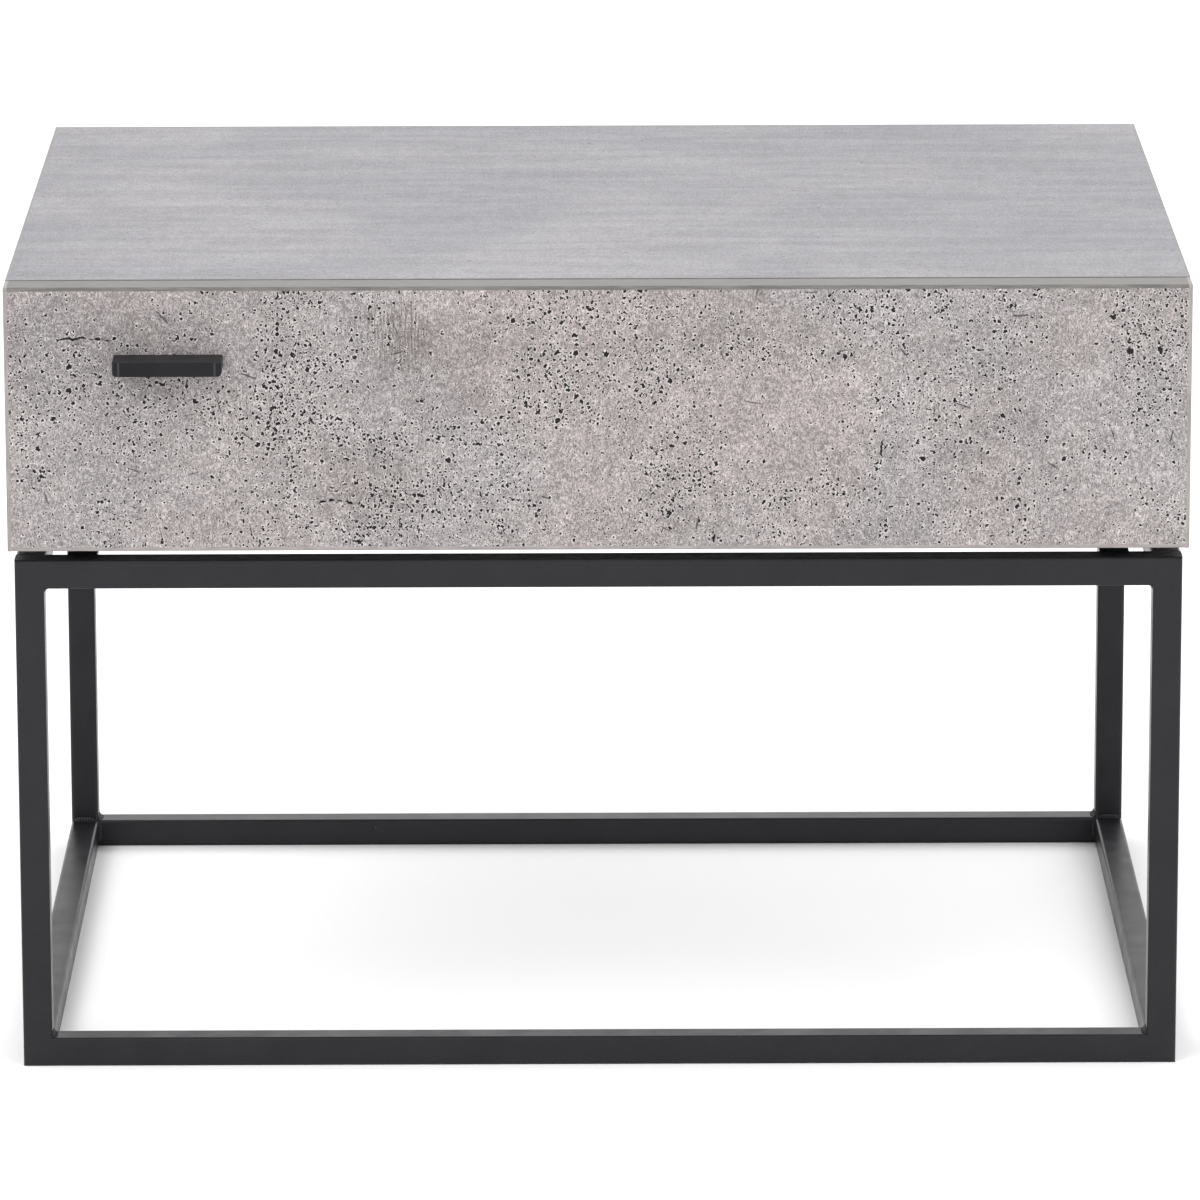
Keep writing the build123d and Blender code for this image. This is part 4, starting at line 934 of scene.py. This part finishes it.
class CoatFrame(bpy.types.Operator):
    """Powder-coat the tubes and tabs, finish the spacers in black plastic, and lay the welds in the inner
    corners
    """

    bl_idname = "side_table.coat_frame"
    bl_label = "Steel Frame"
    bl_options = {"REGISTER", "UNDO"}

    def execute(self, context):
        look = choices("steel")
        grain_mm = look.grain / MM
        give(powder_coat("frame_powder_coat", look.coat, grain_mm), *TUBES, "frame_tabs")
        build_welds(powder_coat("weld_powder_coat", look.coat, grain_mm, roughness=(0.36, 0.46), seed=1.0))
        give(moulded("spacer_plastic", SPACER_BLACK, 0.5), "frame_spacers")
        return {"FINISHED"}


class FitPull(bpy.types.Operator):
    """Coat the finger pull in satin black, with painted highlight lines where its front corners begin to round
    """

    bl_idname = "side_table.fit_pull"
    bl_label = "Finger Pull"
    bl_options = {"REGISTER", "UNDO"}

    def execute(self, context):
        look = choices("pull")
        low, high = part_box("finger_pull")
        # places of the painted highlight lines, set in from each end of the pull
        glinting = [(x / MM, look.glint_width / MM) for x in (low[X] + look.glint_set, high[X] - look.glint_set)]
        roughness = (look.gloss - 0.05, look.gloss + 0.06)
        satin = powder_coat("pull_satin_black", look.coat, 0.4, roughness, specular=0.12, seed=2.0,
                            glinting=glinting)
        give(satin, "finger_pull")
        return {"FINISHED"}


class FinishDrawer(bpy.types.Operator):
    """Face the drawer's sides, back and bottom"""

    bl_idname = "side_table.finish_drawer"
    bl_label = "Drawer Box"
    bl_options = {"REGISTER", "UNDO"}

    def execute(self, context):
        look = choices("drawer")
        give(cored_board("drawer_side_facing", look.board, Y, Z, X, 1.0), *pair("drawer_side"))
        give(cored_board("drawer_back_facing", look.board, X, Z, Y, 2.0), "drawer_back")
        give(cored_board("drawer_bottom_facing", look.base, X, Y, Z, 3.0), "drawer_bottom")
        return {"FINISHED"}


class FinishSlides(bpy.types.Operator):
    """Plate the slides and their ball cages, and polish the balls"""

    bl_idname = "side_table.finish_slides"
    bl_label = "Drawer Slides"
    bl_options = {"REGISTER", "UNDO"}

    def execute(self, context):
        look = choices("drawer")
        give(plated_steel("slide_zinc", look.zinc, 0.34, along=Y), *pair("slide_outer"), *pair("slide_inner"))
        duller = tuple(part * 0.92 for part in look.zinc)
        give(plated_steel("cage_zinc", duller, 0.42, along=Y, seed=4.0), *pair("ball_cage"))
        give(cast_metal("ball_polish", BALL_STEEL, 0.12, 1.5), *pair("slide_balls"))
        return {"FINISHED"}


class FinishFittings(bpy.types.Operator):
    """Finish the screws, cams, bolts, inserts, dowels and bumpers"""

    bl_idname = "side_table.finish_fittings"
    bl_label = "Fittings"
    bl_options = {"REGISTER", "UNDO"}

    def execute(self, context):
        look = choices("drawer")
        give(plated_steel("screw_zinc", look.zinc, 0.3, seed=7.0), "case_cam_bolts", "drawer_cam_bolts",
             "drawer_back_screws", "slide_outer_screws", "slide_inner_screws", "pull_screws")
        give(cast_metal("cam_casting", CAM_ALLOY, 0.42, 0.5), "case_cams", "drawer_cams")
        give(powder_coat("bolt_black_oxide", OXIDE_BLACK, 0.3, roughness=(0.34, 0.46), specular=0.5, seed=3.0),
             "frame_bolts")
        give(cast_metal("insert_brass", BRASS, 0.3, 0.4), "frame_inserts")
        give(raw_beech("dowel_beech"), "case_dowels", "drawer_dowels")
        give(moulded("bumper_rubber", RUBBER_GREY, 0.55, specular=0.35), "front_bumpers")
        return {"FINISHED"}


STEPS = (
    SetStage,
    FinishTop,
    FinishFront,
    FinishCase,
    CoatFrame,
    FitPull,
    FinishDrawer,
    FinishSlides,
    FinishFittings,
)


class SideTablePanel(bpy.types.Panel):
    """Lists the steps that finish the table, and what can be changed."""

    bl_idname = "VIEW3D_PT_side_table"
    bl_label = "Side Table"
    bl_space_type = "VIEW_3D"
    bl_region_type = "UI"
    bl_category = "Side Table"

    def draw(self, context):
        for step in STEPS:
            self.layout.operator(step.bl_idname)
        for group in CHOICES:
            box = self.layout.box()
            held = choices(group)
            for name in held.bl_rna.properties.keys():
                if name not in ("rna_type", "name"):
                    box.prop(held, name)


def register():
    """Adds the choices to the scene, then the operators and the panel."""
    for group, kind in CHOICES.items():
        bpy.utils.register_class(kind)
        setattr(bpy.types.Scene, f"side_table_{group}", bpy.props.PointerProperty(type=kind))
    for kind in (*STEPS, SideTablePanel):
        bpy.utils.register_class(kind)


def unregister():
    """Takes away what register added."""
    for kind in reversed((*STEPS, SideTablePanel)):
        bpy.utils.unregister_class(kind)
    for group, kind in CHOICES.items():
        delattr(bpy.types.Scene, f"side_table_{group}")
        bpy.utils.unregister_class(kind)


def main():
    """Finishes the whole table."""
    register()
    for step in STEPS:
        namespace, name = step.bl_idname.split(".")
        getattr(getattr(bpy.ops, namespace), name)()


if __name__ == "__main__":
    main()
